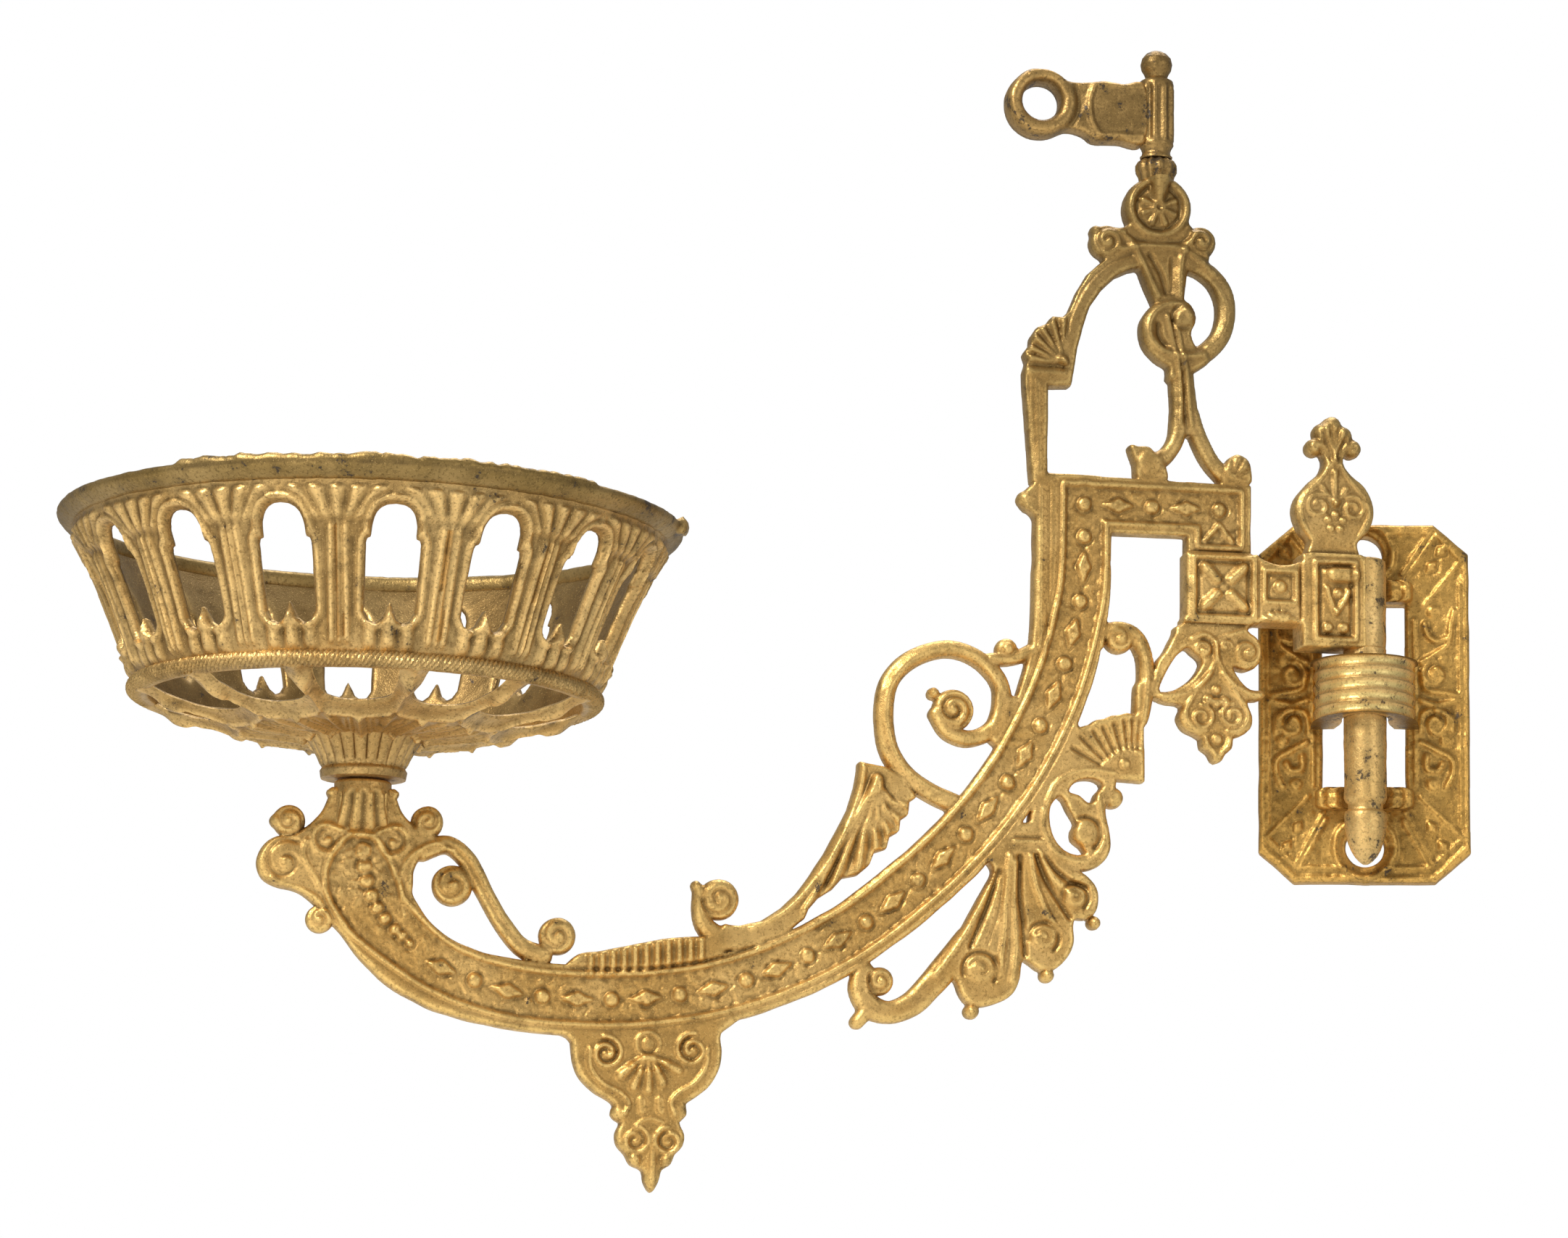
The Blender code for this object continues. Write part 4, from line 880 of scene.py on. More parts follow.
def crest_outline(arm):
    """Everything above the top rail: strut with its shell, arch, wheel, ring loop and legs."""
    arm.slab(
        [
            (-73.7, 45.0), (-73.7, 67.2), (-68.3, 67.4), (-67.6, 72.0), (-67.1, 76.0),
            (-65.9, 81.0), (-64.1, 86.0), (-61.4, 90.2), (-57.8, 93.7), (-53.6, 95.9),
            (-52.6, 98.6), (-57.0, 98.9), (-60.8, 97.2), (-64.7, 93.6), (-67.0, 89.6),
            (-68.9, 84.6), (-70.4, 83.2), (-72.8, 83.3), (-74.1, 81.4), (-76.3, 80.6),
            (-77.6, 78.4), (-77.7, 76.6), (-79.2, 74.6), (-78.5, 72.6), (-79.1, 70.4),
            (-78.9, 66.0), (-78.3, 58.0), (-77.6, 50.0), (-77.2, 45.0),
        ],
        smooth=False,
        soft=0.5,
    )
    arm.ball(-60.2, 101.4, 3.8)
    arm.ball(-62.8, 103.9, 1.2)
    arm.ball(-38.6, 102.4, 3.6)
    arm.slab([(-61.0, 97.6), (-54.0, 95.6), (-48.0, 97.4), (-41.0, 95.8), (-36.6, 98.8),
              (-40.4, 105.4), (-44.0, 108.0), (-53.0, 108.0), (-56.4, 105.0), (-62.0, 104.0)])
    arm.slab(arc(-48.5, 109.8, 7.6, 0, 355, 40), smooth=False)
    arm.slab([(-53.4, 98.0), (-51.4, 92.6), (-49.4, 87.8), (-42.5, 88.4), (-41.9, 94.0),
              (-41.2, 98.0)], smooth=False)
    arm.slab(
        [
            (-49.4, 87.4), (-51.7, 84.2), (-52.2, 81.0), (-51.2, 77.6), (-48.6, 74.6),
            (-46.0, 73.0), (-45.6, 70.0), (-39.8, 72.2), (-36.4, 75.2), (-39.4, 77.6),
            (-40.6, 79.6), (-40.8, 81.4), (-39.8, 83.6), (-39.9, 85.8), (-41.4, 88.0),
            (-44.0, 88.9), (-47.0, 88.6),
        ]
    )
    arm.rod([(-45.6, 98.0, 2.0), (-39.6, 97.0, 2.0), (-35.4, 94.4, 2.0), (-32.9, 90.2, 2.1),
             (-32.5, 85.2, 2.1), (-33.9, 80.6, 2.1), (-37.2, 77.0, 2.1), (-41.4, 75.0, 2.1)])
    arm.rod([(-43.2, 76.0, 2.8), (-42.7, 71.0, 2.7), (-42.2, 65.0, 2.9), (-41.8, 60.4, 3.0)])
    arm.rod([(-43.2, 62.0, 1.8), (-43.9, 56.6, 1.8), (-46.2, 52.8, 1.8), (-49.4, 50.2, 2.4),
             (-50.0, 47.0, 2.6)])
    arm.rod([(-40.4, 62.0, 1.8), (-38.9, 57.4, 1.8), (-36.6, 52.8, 1.8), (-34.0, 49.6, 1.9),
             (-31.0, 47.6, 2.4)])
    arm.slab([(-54.8, 54.4), (-53.6, 50.6), (-52.8, 46.6), (-46.4, 46.6), (-46.8, 50.4),
              (-48.6, 52.2), (-50.4, 54.2), (-53.0, 54.2)])
    arm.slab([(-33.6, 46.6), (-32.6, 51.4), (-30.2, 53.4), (-27.6, 52.2), (-26.8, 49.4),
              (-27.4, 46.6)])


def crest_relief(arm):
    # Shell against the arch, then the arch's flat border and the strut's edge line
    for tip in ((-70.4, 82.6), (-73.0, 82.2), (-75.2, 80.0), (-77.0, 78.2), (-78.0, 75.6),
                (-78.4, 73.4)):
        arm.ridge([(-70.2, 72.4), tip], 0.9, 0.6)
    arm.fan((-70.0, 72.0), [(-71.8, 82.6), (-74.2, 80.8), (-76.2, 79.2), (-77.6, 76.8),
                            (-78.4, 74.4)], 0.5, 0.5, 0.2)
    arm.ridge([(-79.0, 71.8), (-74.0, 71.6), (-70.4, 71.8)], 0.7, -0.5)
    arm.ridge([(-78.8, 70.0), (-70.0, 70.0)], 0.9, 0.3)
    arm.vein([(-70.2, 71.0), (-70.0, 78.0), (-68.2, 85.0), (-64.6, 91.6), (-59.6, 96.4),
               (-54.4, 98.6)], 0.5, -0.4)
    arm.ridge([(-77.2, 47.0), (-78.2, 60.0), (-78.3, 70.0)], 0.5, -0.35)
    arm.ridge([(-75.6, 47.0), (-76.2, 68.0)], 1.0, 0.25)
    for x, z, r, start, hand in ((-60.2, 101.4, 3.2, 60, 1), (-38.6, 102.4, 3.0, 120, -1)):
        arm.dome(x, z, r, 0.5)
        arm.scroll(x, z, r, start, hand, 1.3, 0.7, 0.6)
    # Wheel: raised rim, sunk field, wedge petals and a hub
    arm.ridge(arc(-48.5, 109.8, 6.5, 0, 360, 40), 1.2, 0.6)
    arm.ridge(arc(-48.5, 109.8, 5.0, 0, 360, 40), 0.6, -0.5)
    for turn in range(8):
        x, z = arc(-48.5, 109.8, 4.3, 22 + 45 * turn, 0, 1)[0]
        arm.ridge([((x - 48.5 * 3) / 4, (z + 109.8 * 3) / 4), (x, z)], 0.9, 0.7)
    # Where many flutes meet they don't pile up
    arm.relief = np.clip(arm.relief, -1.2, 1.6)
    # Smooth cone under the pin boss, in front of the wheel
    wide = 3.3 * np.clip((arm.Z - 109.6) / 8.0, 0, 1)
    cone = np.sqrt(np.clip(wide**2 - (arm.X + 48.4) ** 2, 0, None))
    arm.relief = np.where(cone > 0, 0.9 * cone + 0.3, arm.relief)
    # Ribbons that cross below the wheel and run down to the knot
    for path in (
        [(-57.6, 104.4), (-55.0, 101.6), (-52.6, 97.4), (-50.6, 93.2), (-48.6, 89.0)],
        [(-39.6, 104.4), (-41.8, 101.6), (-43.2, 97.4), (-43.4, 93.2), (-43.4, 89.4)],
        [(-57.0, 99.6), (-50.0, 101.0), (-44.0, 100.6), (-39.4, 98.4), (-35.6, 95.0)],
    ):
        arm.vein(path, 1.2, 0.55)
    arm.vein([(-50.4, 98.6), (-48.0, 94.4), (-46.6, 90.0)], 0.9, -0.7)
    arm.vein([(-45.4, 98.0), (-45.4, 94.0), (-45.6, 90.0)], 0.7, -0.5)
    arm.ridge(arc(-48.5, 116.0, 14.6, 240, 300), 0.6, -0.4)
    # Knot: the ring's end coils up round a small ball, over a pointed leaf
    arm.vein([(-38.0, 76.0), (-42.4, 75.4), (-47.0, 76.4), (-50.4, 79.6), (-50.2, 84.0),
               (-47.0, 87.0), (-43.2, 87.2), (-41.2, 84.8)], 1.3, 0.6)
    arm.dome(-42.4, 84.6, 2.2, 0.7)
    arm.ridge(arc(-42.6, 84.6, 2.7, 100, 300), 0.5, -0.5)
    arm.vein([(-48.4, 82.6), (-48.2, 80.0), (-46.8, 77.8)], 1.0, -0.8)
    for path in ([(-46.4, 84.6), (-45.2, 80.0), (-43.8, 74.0), (-43.2, 66.0), (-43.4, 60.0)],
                 [(-44.4, 83.6), (-43.4, 78.0), (-42.0, 72.0), (-41.4, 64.0), (-40.6, 59.0)]):
        arm.vein(path, 0.8, 0.5)
    arm.vein([(-45.4, 84.0), (-44.2, 78.0), (-42.8, 71.0), (-42.2, 62.0), (-41.6, 57.8)], 0.5, -0.5)
    arm.dome(-50.2, 50.6, 3.0, 0.5)
    arm.dome(-30.2, 50.2, 2.9, 0.5)
    arm.fan((-31.6, 47.4), [(-31.2, 53.0), (-28.6, 52.8), (-27.2, 50.0)], 0.5, 0.5, 0.3)
    arm.ridge(arc(-41.5, 85.6, 9.0, -60, 80), 0.9, 0.25)


# The arm is cast in one; its mesh is cut here and along the line split
HEAD_CUT = -140.2
# The relief is multiplied by these after its blur
ARM_GAIN = 1.3
CUP_GAIN = 1.25
PLATE_GAIN = 1.05


def make_arm():
    arm = Sheet(-248.5, -117.0, 3.0, 119.0, STEP)
    X, Z = arm.X, arm.Z
    band = curve(BAND, 1.5)
    at = arm.near(band, 9.0)
    arm.add(arm.flat, at, strip_depth(X[at], Z[at], band))
    frame_outline(arm)
    head_outline(arm)
    lower_outline(arm)
    pendant_outline(arm)
    drop_outline(arm)
    crest_outline(arm)
    # Sunk panel of the band and of the frame, with a fillet and a groove round it
    line = curve(PANEL_HEAD + PANEL, 1.5)
    panel = np.full(X.shape, -8.0)
    at = arm.near(line, 9.0)
    panel[at] = strip_depth(X[at], Z[at], line)
    rail = np.array([(-69.5, 36.7), (-38.7, 36.7), (-38.7, 32.3), (-29.6, 32.3), (-29.6, 44.4),
                     (-69.5, 44.4)])
    at = arm.near(rail, 6.0)
    panel[at] = np.maximum(panel[at], polygon_depth(X[at], Z[at], rail))
    ground = noise(X, Z, 0.95, 11) * 0.18 + noise(X, Z, 0.7, 12) * 0.12 - 0.7
    sunk = step_up(panel, -0.15, 0.35)
    arm.relief += sunk * ground
    arm.relief += hump(panel + 0.65, 0.6, 0.2)
    arm.relief -= bead(panel + 1.5, 0.45, 0.4)
    # Beads and diamonds, evenly spaced
    path = curve(PANEL, 0.5)
    run = np.concatenate([[0], np.cumsum(np.hypot(*np.diff(path[:, :2], axis=0).T))])
    for i in range(BEADS):
        k = int(np.searchsorted(run, run[-1] * i / (BEADS - 1) - 0.01))
        x, z = path[min(k, len(path) - 1), :2]
        before, after = path[max(k - 3, 0)], path[min(k + 3, len(path) - 1)]
        turn = math.degrees(math.atan2(after[1] - before[1], after[0] - before[0]))
        if i % 2 or i == BEADS - 1:
            arm.boss(x, z, *BEAD)
        else:
            arm.lozenge(x, z, turn, *DIAMOND)
    for i in range(1, 5):
        x = -65.2 + 7.75 * i
        if i % 2:
            arm.lozenge(x, RAIL_Z, 0, *DIAMOND)
        else:
            arm.boss(x, RAIL_Z, *BEAD)
    head_relief(arm)
    lower_relief(arm)
    pendant_relief(arm)
    frame_relief(arm)
    drop_relief(arm)
    crest_relief(arm)
    arm.relief = blurred(arm.relief, 1) * ARM_GAIN
    arm.relief += noise(X, Z, 3.2, 13) * 0.08 + noise(X, Z, 1.2, 14) * 0.06
    arm.flat += noise(X, Z, 4.0, 15) * 0.12
    arm.stem += noise(X, Z, 4.0, 16) * 0.08
    height = arm.height()
    depth = arm.depth()
    split = np.array([(-83.0, 150.0), (-83.0, 14.0), (-78.6, 10.4), (-59.5, 6.4), (-47.7, 6.4),
                      (-47.7, -30.0), (12.0, -30.0), (12.0, 150.0)])
    upper = polygon_depth(X, Z, split)
    lower = np.minimum(depth, -upper)
    return [
        cast("arm_head", X, Z, np.minimum(lower, HEAD_CUT - X), height, height, place_arm),
        cast("arm_curve", X, Z, np.minimum(lower, X - HEAD_CUT), height, height, place_arm),
        cast("arm_frame", X, Z, np.minimum(depth, upper), height, height, place_arm),
    ]


# Turned and swept pieces


def place_about(x, y, turn=0.0):
    """Placing for turned pieces: radius, angle and height about an upright axis."""

    def place(radius, angle, z):
        a = angle + turn
        return np.stack([x + radius * np.cos(a), y + radius * np.sin(a), z], -1) * MM

    return place


ABOUT_SPINDLE = place_about(SPINDLE[0], SPINDLE[1], SWING)
ABOUT_CUP = place_about(CUP_AXIS[0], CUP_AXIS[1], SWING)
ABOUT_SWIVEL = place_about(SWIVEL[0], SWIVEL[1], SWING)


def skin(name, points, cavity, closed):
    """A closed mesh from a grid of points that wraps in its second direction, and in its first
    too where closed; otherwise each end is capped with a fan round its centre."""
    rows, columns = points.shape[:2]
    index = np.arange(rows * columns).reshape(rows, columns)
    below = np.roll(index, -1, axis=0) if closed else index[1:]
    above = index if closed else index[:-1]
    quads = np.stack([above, below, np.roll(below, -1, 1), np.roll(above, -1, 1)], -1)
    faces = [quads.reshape(-1, 4)]
    flat = points.reshape(-1, 3)
    values = cavity.reshape(-1)
    if not closed:
        for row, order in ((0, 1), (rows - 1, -1)):
            centre = len(flat)
            flat = np.concatenate([flat, points[row].mean(0, keepdims=True)])
            values = np.append(values, values[index[row]].mean())
            ring = index[row][::order]
            fan = [np.full(columns, centre), ring, np.roll(ring, -1)]
            faces.append(np.stack(fan, -1))
    return build(name, flat, faces, {"cavity": values})


def turned(name, profile, place, count, relief=None, closed=False, step=0.5, smooth=False):
    """A turned piece. The profile's rows are radius and z, going down its outer side; relief
    gives how far each point moves out, from the distance along the profile, angle, radius and z."""
    rows = np.array(profile, float)
    if smooth:
        rows = curve(rows, step, closed)
    ends = np.concatenate([rows, rows[:1]]) if closed else rows
    path = []
    for (ra, za), (rb, zb) in zip(ends[:-1], ends[1:]):
        pieces = max(1, round(math.hypot(rb - ra, zb - za) / step))
        path += [(ra + (rb - ra) * k / pieces, za + (zb - za) * k / pieces) for k in range(pieces)]
    if not closed:
        path.append(tuple(ends[-1]))
    path = np.array(path)
    if closed:
        tangent = np.roll(path, -1, 0) - np.roll(path, 1, 0)
    else:
        tangent = np.gradient(path, axis=0)
    tangent /= np.maximum(np.hypot(tangent[:, 0], tangent[:, 1]), 1e-9)[:, None]
    run = np.concatenate([[0], np.cumsum(np.hypot(*np.diff(path, axis=0).T))])
    angle = np.linspace(0, 2 * math.pi, count, endpoint=False)
    S, A = np.meshgrid(run, angle, indexing="ij")
    R, Z = (np.repeat(path[:, k : k + 1], count, axis=1) for k in (0, 1))
    out = np.zeros(A.shape) if relief is None else relief(S, A, R, Z)
    away = R - tangent[:, 1:] * out
    if not closed:
        # The very ends close on the axis or on the piece's own cap.
        away = np.where(R < 0.02, 0.02, np.maximum(away, 0.02))
    points = place(away, A, Z + tangent[:, :1] * out)
    # Painted highlight and shade: the relief above its blur, which the paint turns paler on ridges
    # and darker in hollows
    hollow = out - blurred(out, 10)
    return skin(name, points, hollow, closed)


def around_noise(A, radius, Z, cell, seed):
    """Noise on a turned surface that meets itself after a full turn."""
    u, v = radius * np.cos(A), radius * np.sin(A)
    return 0.6 * noise(u + 0.7 * Z, v - 0.4 * Z, cell, seed) + 0.4 * noise(
        u - 0.9 * Z, v + 0.6 * Z, cell * 0.6, seed + 1
    )


# Cup, round its own axis

BAYS = 16
LOBES = 12
ARCH_START = math.radians(1.5)
LOBE_START = math.radians(-6.0)
RING_Z = -9.5
RIM_Z = 27.6
# Radii that turn an angle into a length along the wall's and the bowl's sheets
WALL_SCALE = 57.0
BOWL_SCALE = 35.0
# How far the wall's outer face stands off the sheet's middle
WALL_HALF = 1.4


def wall_radius(z):
    t = (z - RING_Z) / (RIM_Z - RING_Z)
    return 49.5 + 14.3 * t + 2.6 * t**3


def place_wall_ring(x, z, y):
    return ABOUT_CUP(wall_radius(z) - WALL_HALF - y, x / WALL_SCALE, z)


def place_bowl(x, r, y):
    middle = np.interp(
        r,
        [12.0, 24.0, 30.0, 38.0, 44.0, 48.0, 51.8],
        [-17.7, -16.7, -15.9, -14.5, -12.9, -11.1, -9.6],
    )
    return ABOUT_CUP(r, x / BOWL_SCALE, middle + y)


def tiled(field, times):
    return np.concatenate([field] * times, axis=1)


def arch_outline():
    """The opening of one bay: a crested sill, straight jambs, small brackets and a round head."""
    right = [(0.0, 1.7), (0.5, 0.6), (1.4, -1.4), (2.9, -2.5), (4.4, -1.9), (5.5, -0.2)]
    right += [(5.8, 6.0), (6.0, 13.4), (5.7, 14.2), (4.9, 14.5), (4.9, 15.6)]
    turns = np.radians([8, 22, 38, 54, 72, 90])
    head = [(4.9 * math.cos(a) ** 0.8, 15.8 + 5.3 * math.sin(a) ** 0.85) for a in turns]
    head[-1] = (0.0, 21.1)
    left = [(-x, z) for x, z in (right + head[:-1])[:0:-1]]
    return np.array(right + head + left)


def make_wall_ring():
    bay = 46
    heights = np.arange(-9.4, 26.4, 0.42)
    angle = (np.arange(bay) / bay - 0.5) * 2 * math.pi / BAYS
    A, Z = np.meshgrid(angle, heights)
    X = A * wall_radius(Z)
    pier = math.pi / BAYS * wall_radius(Z) - np.abs(X)
    gap = -polygon_depth(X, Z, arch_outline())
    depth = np.minimum(gap, np.minimum(Z + 8.6, 25.4 - Z))

    relief = np.zeros(X.shape)
    # Round moulding beside each opening, bolder over the arch than down the jambs
    arch = step_up(Z, 11.0, 15.0)
    relief += bead(gap - 0.9, 0.9, 0.4 + 0.6 * arch)
    relief += bead(gap - 1.9, 0.5, -0.3)
    # Three reeds up each pier, ending under the shell
    shaft = step_up(Z, -7.0, -5.6) * step_up(-Z, -17.6, -16.0)
    for at in (0.0, 1.5):
        relief += shaft * bead(pier - at, 0.85, 1.15)
    relief += shaft * bead(pier - 0.75, 0.4, -0.6)
    # Leaf under each sill, with a smaller one on either side
    drape = step_up(-Z, -1.0, 2.0) * step_up(Z, -8.8, -6.0) * step_up(pier, 3.2, 4.0)
    for at, half in ((0.0, 1.8), (3.9, 1.6)):
        relief += hump(np.abs(X) - at, half, drape)
    # Shell of soft leaves over each pier, fanning out to the rim
    over = step_up(Z, 16.8, 18.4) * step_up(-Z, -24.4, -23.0) * step_up(gap, 1.6, 2.4)
    spread = pier / np.clip((Z - 12.6) * 0.42, 0.3, 9.0)
    for at in (0.0, 1.0, 2.0):
        relief += hump(spread - at, 0.5, 1.2 * over)
    relief += bead(np.hypot(X, (Z - 23.2) * 1.2), 1.2, 0.5)
    relief = blurred(relief, 1) * CUP_GAIN
    skin_edge = eased_edge(gap, 1.0, 0.6)
    front = WALL_HALF + relief * step_up(gap, 0.1, 0.7) + skin_edge
    back = 1.2 + skin_edge
    turn = np.arange(bay * BAYS) * 2 * math.pi / (bay * BAYS)
    turn = turn + ARCH_START + math.pi / 2 - math.pi / BAYS
    U, V = np.meshgrid(turn * WALL_SCALE, heights)
    A = U / WALL_SCALE
    rough = 0.1 * around_noise(A, 58.0, V, 2.6, 31)
    fine = 0.06 * around_noise(A, 58.0, V, 1.2, 33)
    depth = tiled(depth, BAYS) + 0.16 * around_noise(A, 58.0, V, 3.4, 35)
    front = tiled(front, BAYS) + rough + fine
    back = tiled(back, BAYS) + 0.08 * around_noise(A, 56.0, V, 3.4, 37)
    return cast("cup_arcade", U, V, depth, front, back, place_wall_ring, wrap=True, bulge=0.2,
                back_shade_and_grime=0.34)


def make_bowl():
    bay = 54
    radii = np.arange(11.6, 50.8, 0.46)
    angle = (np.arange(bay) / bay - 0.5) * 2 * math.pi / LOBES
    A, R = np.meshgrid(angle, radii)
    X = A * R
    rib = math.pi / LOBES * R - np.abs(X)
    opening = [(9.6, 48.6), (9.0, 49.2), (0.0, 49.3), (-9.0, 49.2), (-9.6, 48.6), (-9.3, 46.0)]
    opening += [(-8.9, 43.5)] + [tuple(p) for p in arc(0.0, 38.6, 8.0, 180, 360, 15)]
    opening += [(8.9, 43.5), (9.3, 46.0)]
    gap = -polygon_depth(X, R, np.array(opening))
    depth = np.minimum(np.minimum(gap, R - 12.0), 50.2 - R)

    # Wide bevel down into each opening, with a ridge along its top
    relief = bead(gap - 3.6, 1.0, 0.9) * step_up(rib, 0.2, 1.0) * step_up(-R, -47.5, -45.0)
    relief -= 0.9 * step_up(-gap, -3.4, -0.2)
    # Leaf on each rib, in a V of the bevels' ridges
    leaf = rib / (0.4 + 0.32 * np.clip(R - 38.0, 0.0, 14.0))
    relief += hump(leaf, 1.0, step_up(R, 38.0, 41.0) * step_up(-R, -47.0, -43.0))
    relief += bead(rib, 0.9, 0.6) * step_up(R, 28.0, 31.0) * step_up(-R, -40.0, -37.0)
    # Petal from the collar to each opening, with a midrib and folded sides
    wide = 4.4 * np.sqrt(np.clip(1 - ((R - 19.6) / 7.4) ** 2, 0, 1)) + 0.01
    petal = np.abs(X) / wide
    inner = (np.abs(R - 19.6) < 7.2) * step_up(1 - petal, 0.0, 0.3)
    relief += inner * (0.8 - 0.4 * petal)
    relief += inner * bead(X, 0.7, 0.4)
    for side in (1.4, 2.6):
        relief -= inner * bead(np.abs(X) - side, 0.5, 0.3)
    relief += bead(rib, 1.3, 0.6) * step_up(-R, -27.0, -25.0) * step_up(R, 13.0, 15.0)
    relief += bead(R - 13.4, 1.0, 0.5)
    relief = blurred(relief, 1) * CUP_GAIN
    skin_edge = eased_edge(gap, 0.8, 0.5)
    front = 1.2 + relief + skin_edge
    back = 1.0 + skin_edge
    turn = np.arange(bay * LOBES) * 2 * math.pi / (bay * LOBES)
    turn += LOBE_START + math.pi / 2 - math.pi / LOBES
    U, V = np.meshgrid(turn * BOWL_SCALE, radii)
    x, y = V * np.cos(U / BOWL_SCALE), V * np.sin(U / BOWL_SCALE)
    depth = tiled(depth, LOBES) + 0.15 * noise(x, y, 3.4, 41)
    front = tiled(front, LOBES) + 0.1 * noise(x, y, 2.6, 42) + 0.05 * noise(x, y, 1.3, 43)
    back = tiled(back, LOBES) + 0.1 * noise(x, y, 3.4, 44)
    return cast("cup_bowl", U, V, depth, front, back, place_bowl, wrap=True, bulge=0.2,
                back_shade_and_grime=0.3)


def make_cup():
    count = 640

    def rope(S, A, R, Z):
        outside = step_up(R, 48.6, 49.4)
        strand = 0.5 + 0.5 * np.cos(288 * A + 3.4 * S)
        return outside * (0.6 * strand - 0.35) + 0.06 * around_noise(A, 51.0, Z, 1.8, 51)

    section = [(47.2, -8.0), (49.6, -7.9), (51.0, -8.3), (51.6, -9.3), (51.4, -10.4), (50.4, -11.1)]
    section += [(49.0, -11.2), (47.2, -11.0), (47.0, -9.5)]
    ring = turned("cup_rope_ring", section, ABOUT_CUP, 2 * count, rope, closed=True, step=0.6,
                  smooth=True)

    def worn(S, A, R, Z):
        """Rough casting all round, with what is left of the gates on its top edge."""
        dents = np.clip(around_noise(A, 68.0, Z, 5.0, 53) - 0.25, 0, 1)
        top = step_up(Z, 28.2, 29.2)
        ragged = 0.75 + 0.5 * around_noise(A, 67.0, np.zeros_like(Z), 1.8, 57)
        gate, nib = (
            step_up(-np.abs((np.degrees(A) - middle + 180) % 360 - 180), -half, 1.5 - half)
            for middle, half in ((-90.0, 41.0), (-14.0, 2.6))
        )
        outer = step_up(R, 65.0, 66.0)
        rough = 0.12 * around_noise(A, 67.0, Z, 2.2, 55) - 0.2 * dents * top
        return rough - 0.1 + 1.15 * gate * top * outer * ragged + 1.6 * nib * step_up(R, 67.2, 68.0)

    section = [(62.9, 28.6), (64.6, 29.2), (66.6, 29.3), (67.9, 28.9), (68.3, 28.0), (67.9, 27.0)]
    section += [(66.8, 25.9), (65.6, 25.1), (64.2, 24.9), (62.5, 25.2), (62.3, 27.2)]
    rim = turned("cup_rim", section, ABOUT_CUP, count, worn, closed=True, step=0.55, smooth=True)

    def fluted(S, A, R, Z):
        body = step_up(-Z, 17.2, 18.2) * step_up(Z, -25.4, -24.4) * step_up(R, 8.0, 8.6)
        flute = np.abs(np.sin(12 * A))
        return body * (0.55 * np.sqrt(flute) - 0.35) + 0.05 * around_noise(A, 11.0, Z, 1.6, 59)

    section = [(3.2, -16.4), (12.6, -16.4), (13.5, -17.0), (13.2, -18.2), (12.2, -19.4)]
    section += [(11.2, -21.0), (10.0, -23.2), (9.3, -24.8), (9.0, -25.4), (9.5, -26.2)]
    section += [(9.2, -27.8), (3.2, -27.9)]
    collar = turned("cup_collar", section, ABOUT_CUP, 240, fluted, closed=True, step=0.45)
    return [make_wall_ring(), make_bowl(), ring, rim, collar]


# Turned pieces of the arm


def make_neck():
    """Fluted socket under the cup: round at the top, flattening into the arm's head."""
    top, foot = -28.3, -39.5
    heights = np.linspace(top, foot, 30)
    angle = np.linspace(0, 2 * math.pi, 120, endpoint=False)
    Z, A = np.meshgrid(heights, angle, indexing="ij")
    t = (top - Z) / 11.2
    wide = np.interp(t, [0.0, 0.12, 0.2, 0.5, 0.8, 1.0], [6.2, 6.2, 6.3, 6.6, 7.6, 8.2])
    deep = np.interp(t, [0.0, 0.12, 0.2, 0.5, 0.8, 1.0], [6.2, 6.2, 6.3, 6.0, 4.6, 2.6])
    flute = 0.35 * np.cos(14 * A) * step_up(t, 0.2, 0.3) * (0.5 + 0.5 * np.abs(np.sin(A)))
    round_off = np.interp(t, [0.0, 0.03, 0.97, 1.0], [0.94, 1.0, 1.0, 0.8])
    x = (wide + flute) * round_off * np.cos(A)
    y = (deep + flute) * round_off * np.sin(A)
    points = ABOUT_CUP(np.hypot(x, y), np.arctan2(y, x), Z)
    # Painted highlight and shade: the flutes' relief, less a little, is the cavity that makes
    # ridges paler and grooves darker
    return skin("arm_neck", points, flute - 0.1, False)


def make_spindle():
    def worn(S, A, R, Z):
        seams = 0.12 * np.exp(-((np.abs(np.sin(A)) / 0.06) ** 2)) * step_up(R, 3.0, 4.0)
        rough = 0.1 * around_noise(A, 4.6, Z, 3.0, 61) + 0.05 * around_noise(A, 4.6, Z, 1.2, 63)
        return rough + seams - 0.1

    rod = [(0.0, 10.4), (4.9, 10.4), (4.95, 8.0), (4.9, 0.0), (4.85, -23.4), (4.5, -24.3)]
    rod += [(4.0, -24.7), (4.0, -26.0), (4.7, -26.6), (4.9, -27.6), (4.8, -29.6), (4.5, -31.6)]
    rod += [(4.0, -33.6), (3.4, -35.2), (2.6, -36.6), (1.6, -37.7), (0.7, -38.3), (0.0, -38.4)]
    barrel = [(0.0, 31.1), (4.2, 31.1), (4.8, 30.6), (4.9, 29.6), (4.9, 11.4), (4.8, 10.3)]
    barrel += [(4.2, 9.9), (0.0, 9.9)]
    boss = [(0.0, 121.5), (3.4, 121.5), (4.1, 121.0), (4.7, 120.0), (4.7, 118.9), (4.1, 117.9)]
    boss += [(3.8, 116.4), (4.0, 115.2), (3.8, 113.6), (3.4, 112.0), (2.6, 110.4), (1.2, 109.2)]
    boss += [(0.0, 108.8)]

    def ringed(S, A, R, Z):
        flute = 0.18 * step_up(R, 3.0, 3.4) * np.cos(12 * A)
        return 0.06 * around_noise(A, 3.6, Z, 1.4, 65) + flute

    return [
        turned("spindle_rod", rod, ABOUT_SPINDLE, 84, worn, step=0.5),
        turned("hinge_barrel", barrel, ABOUT_SPINDLE, 84, worn, step=0.5),
        turned("pin_boss", boss, ABOUT_SWIVEL, 72, ringed, step=0.4),
    ]


# Wall plate, strap and lugs


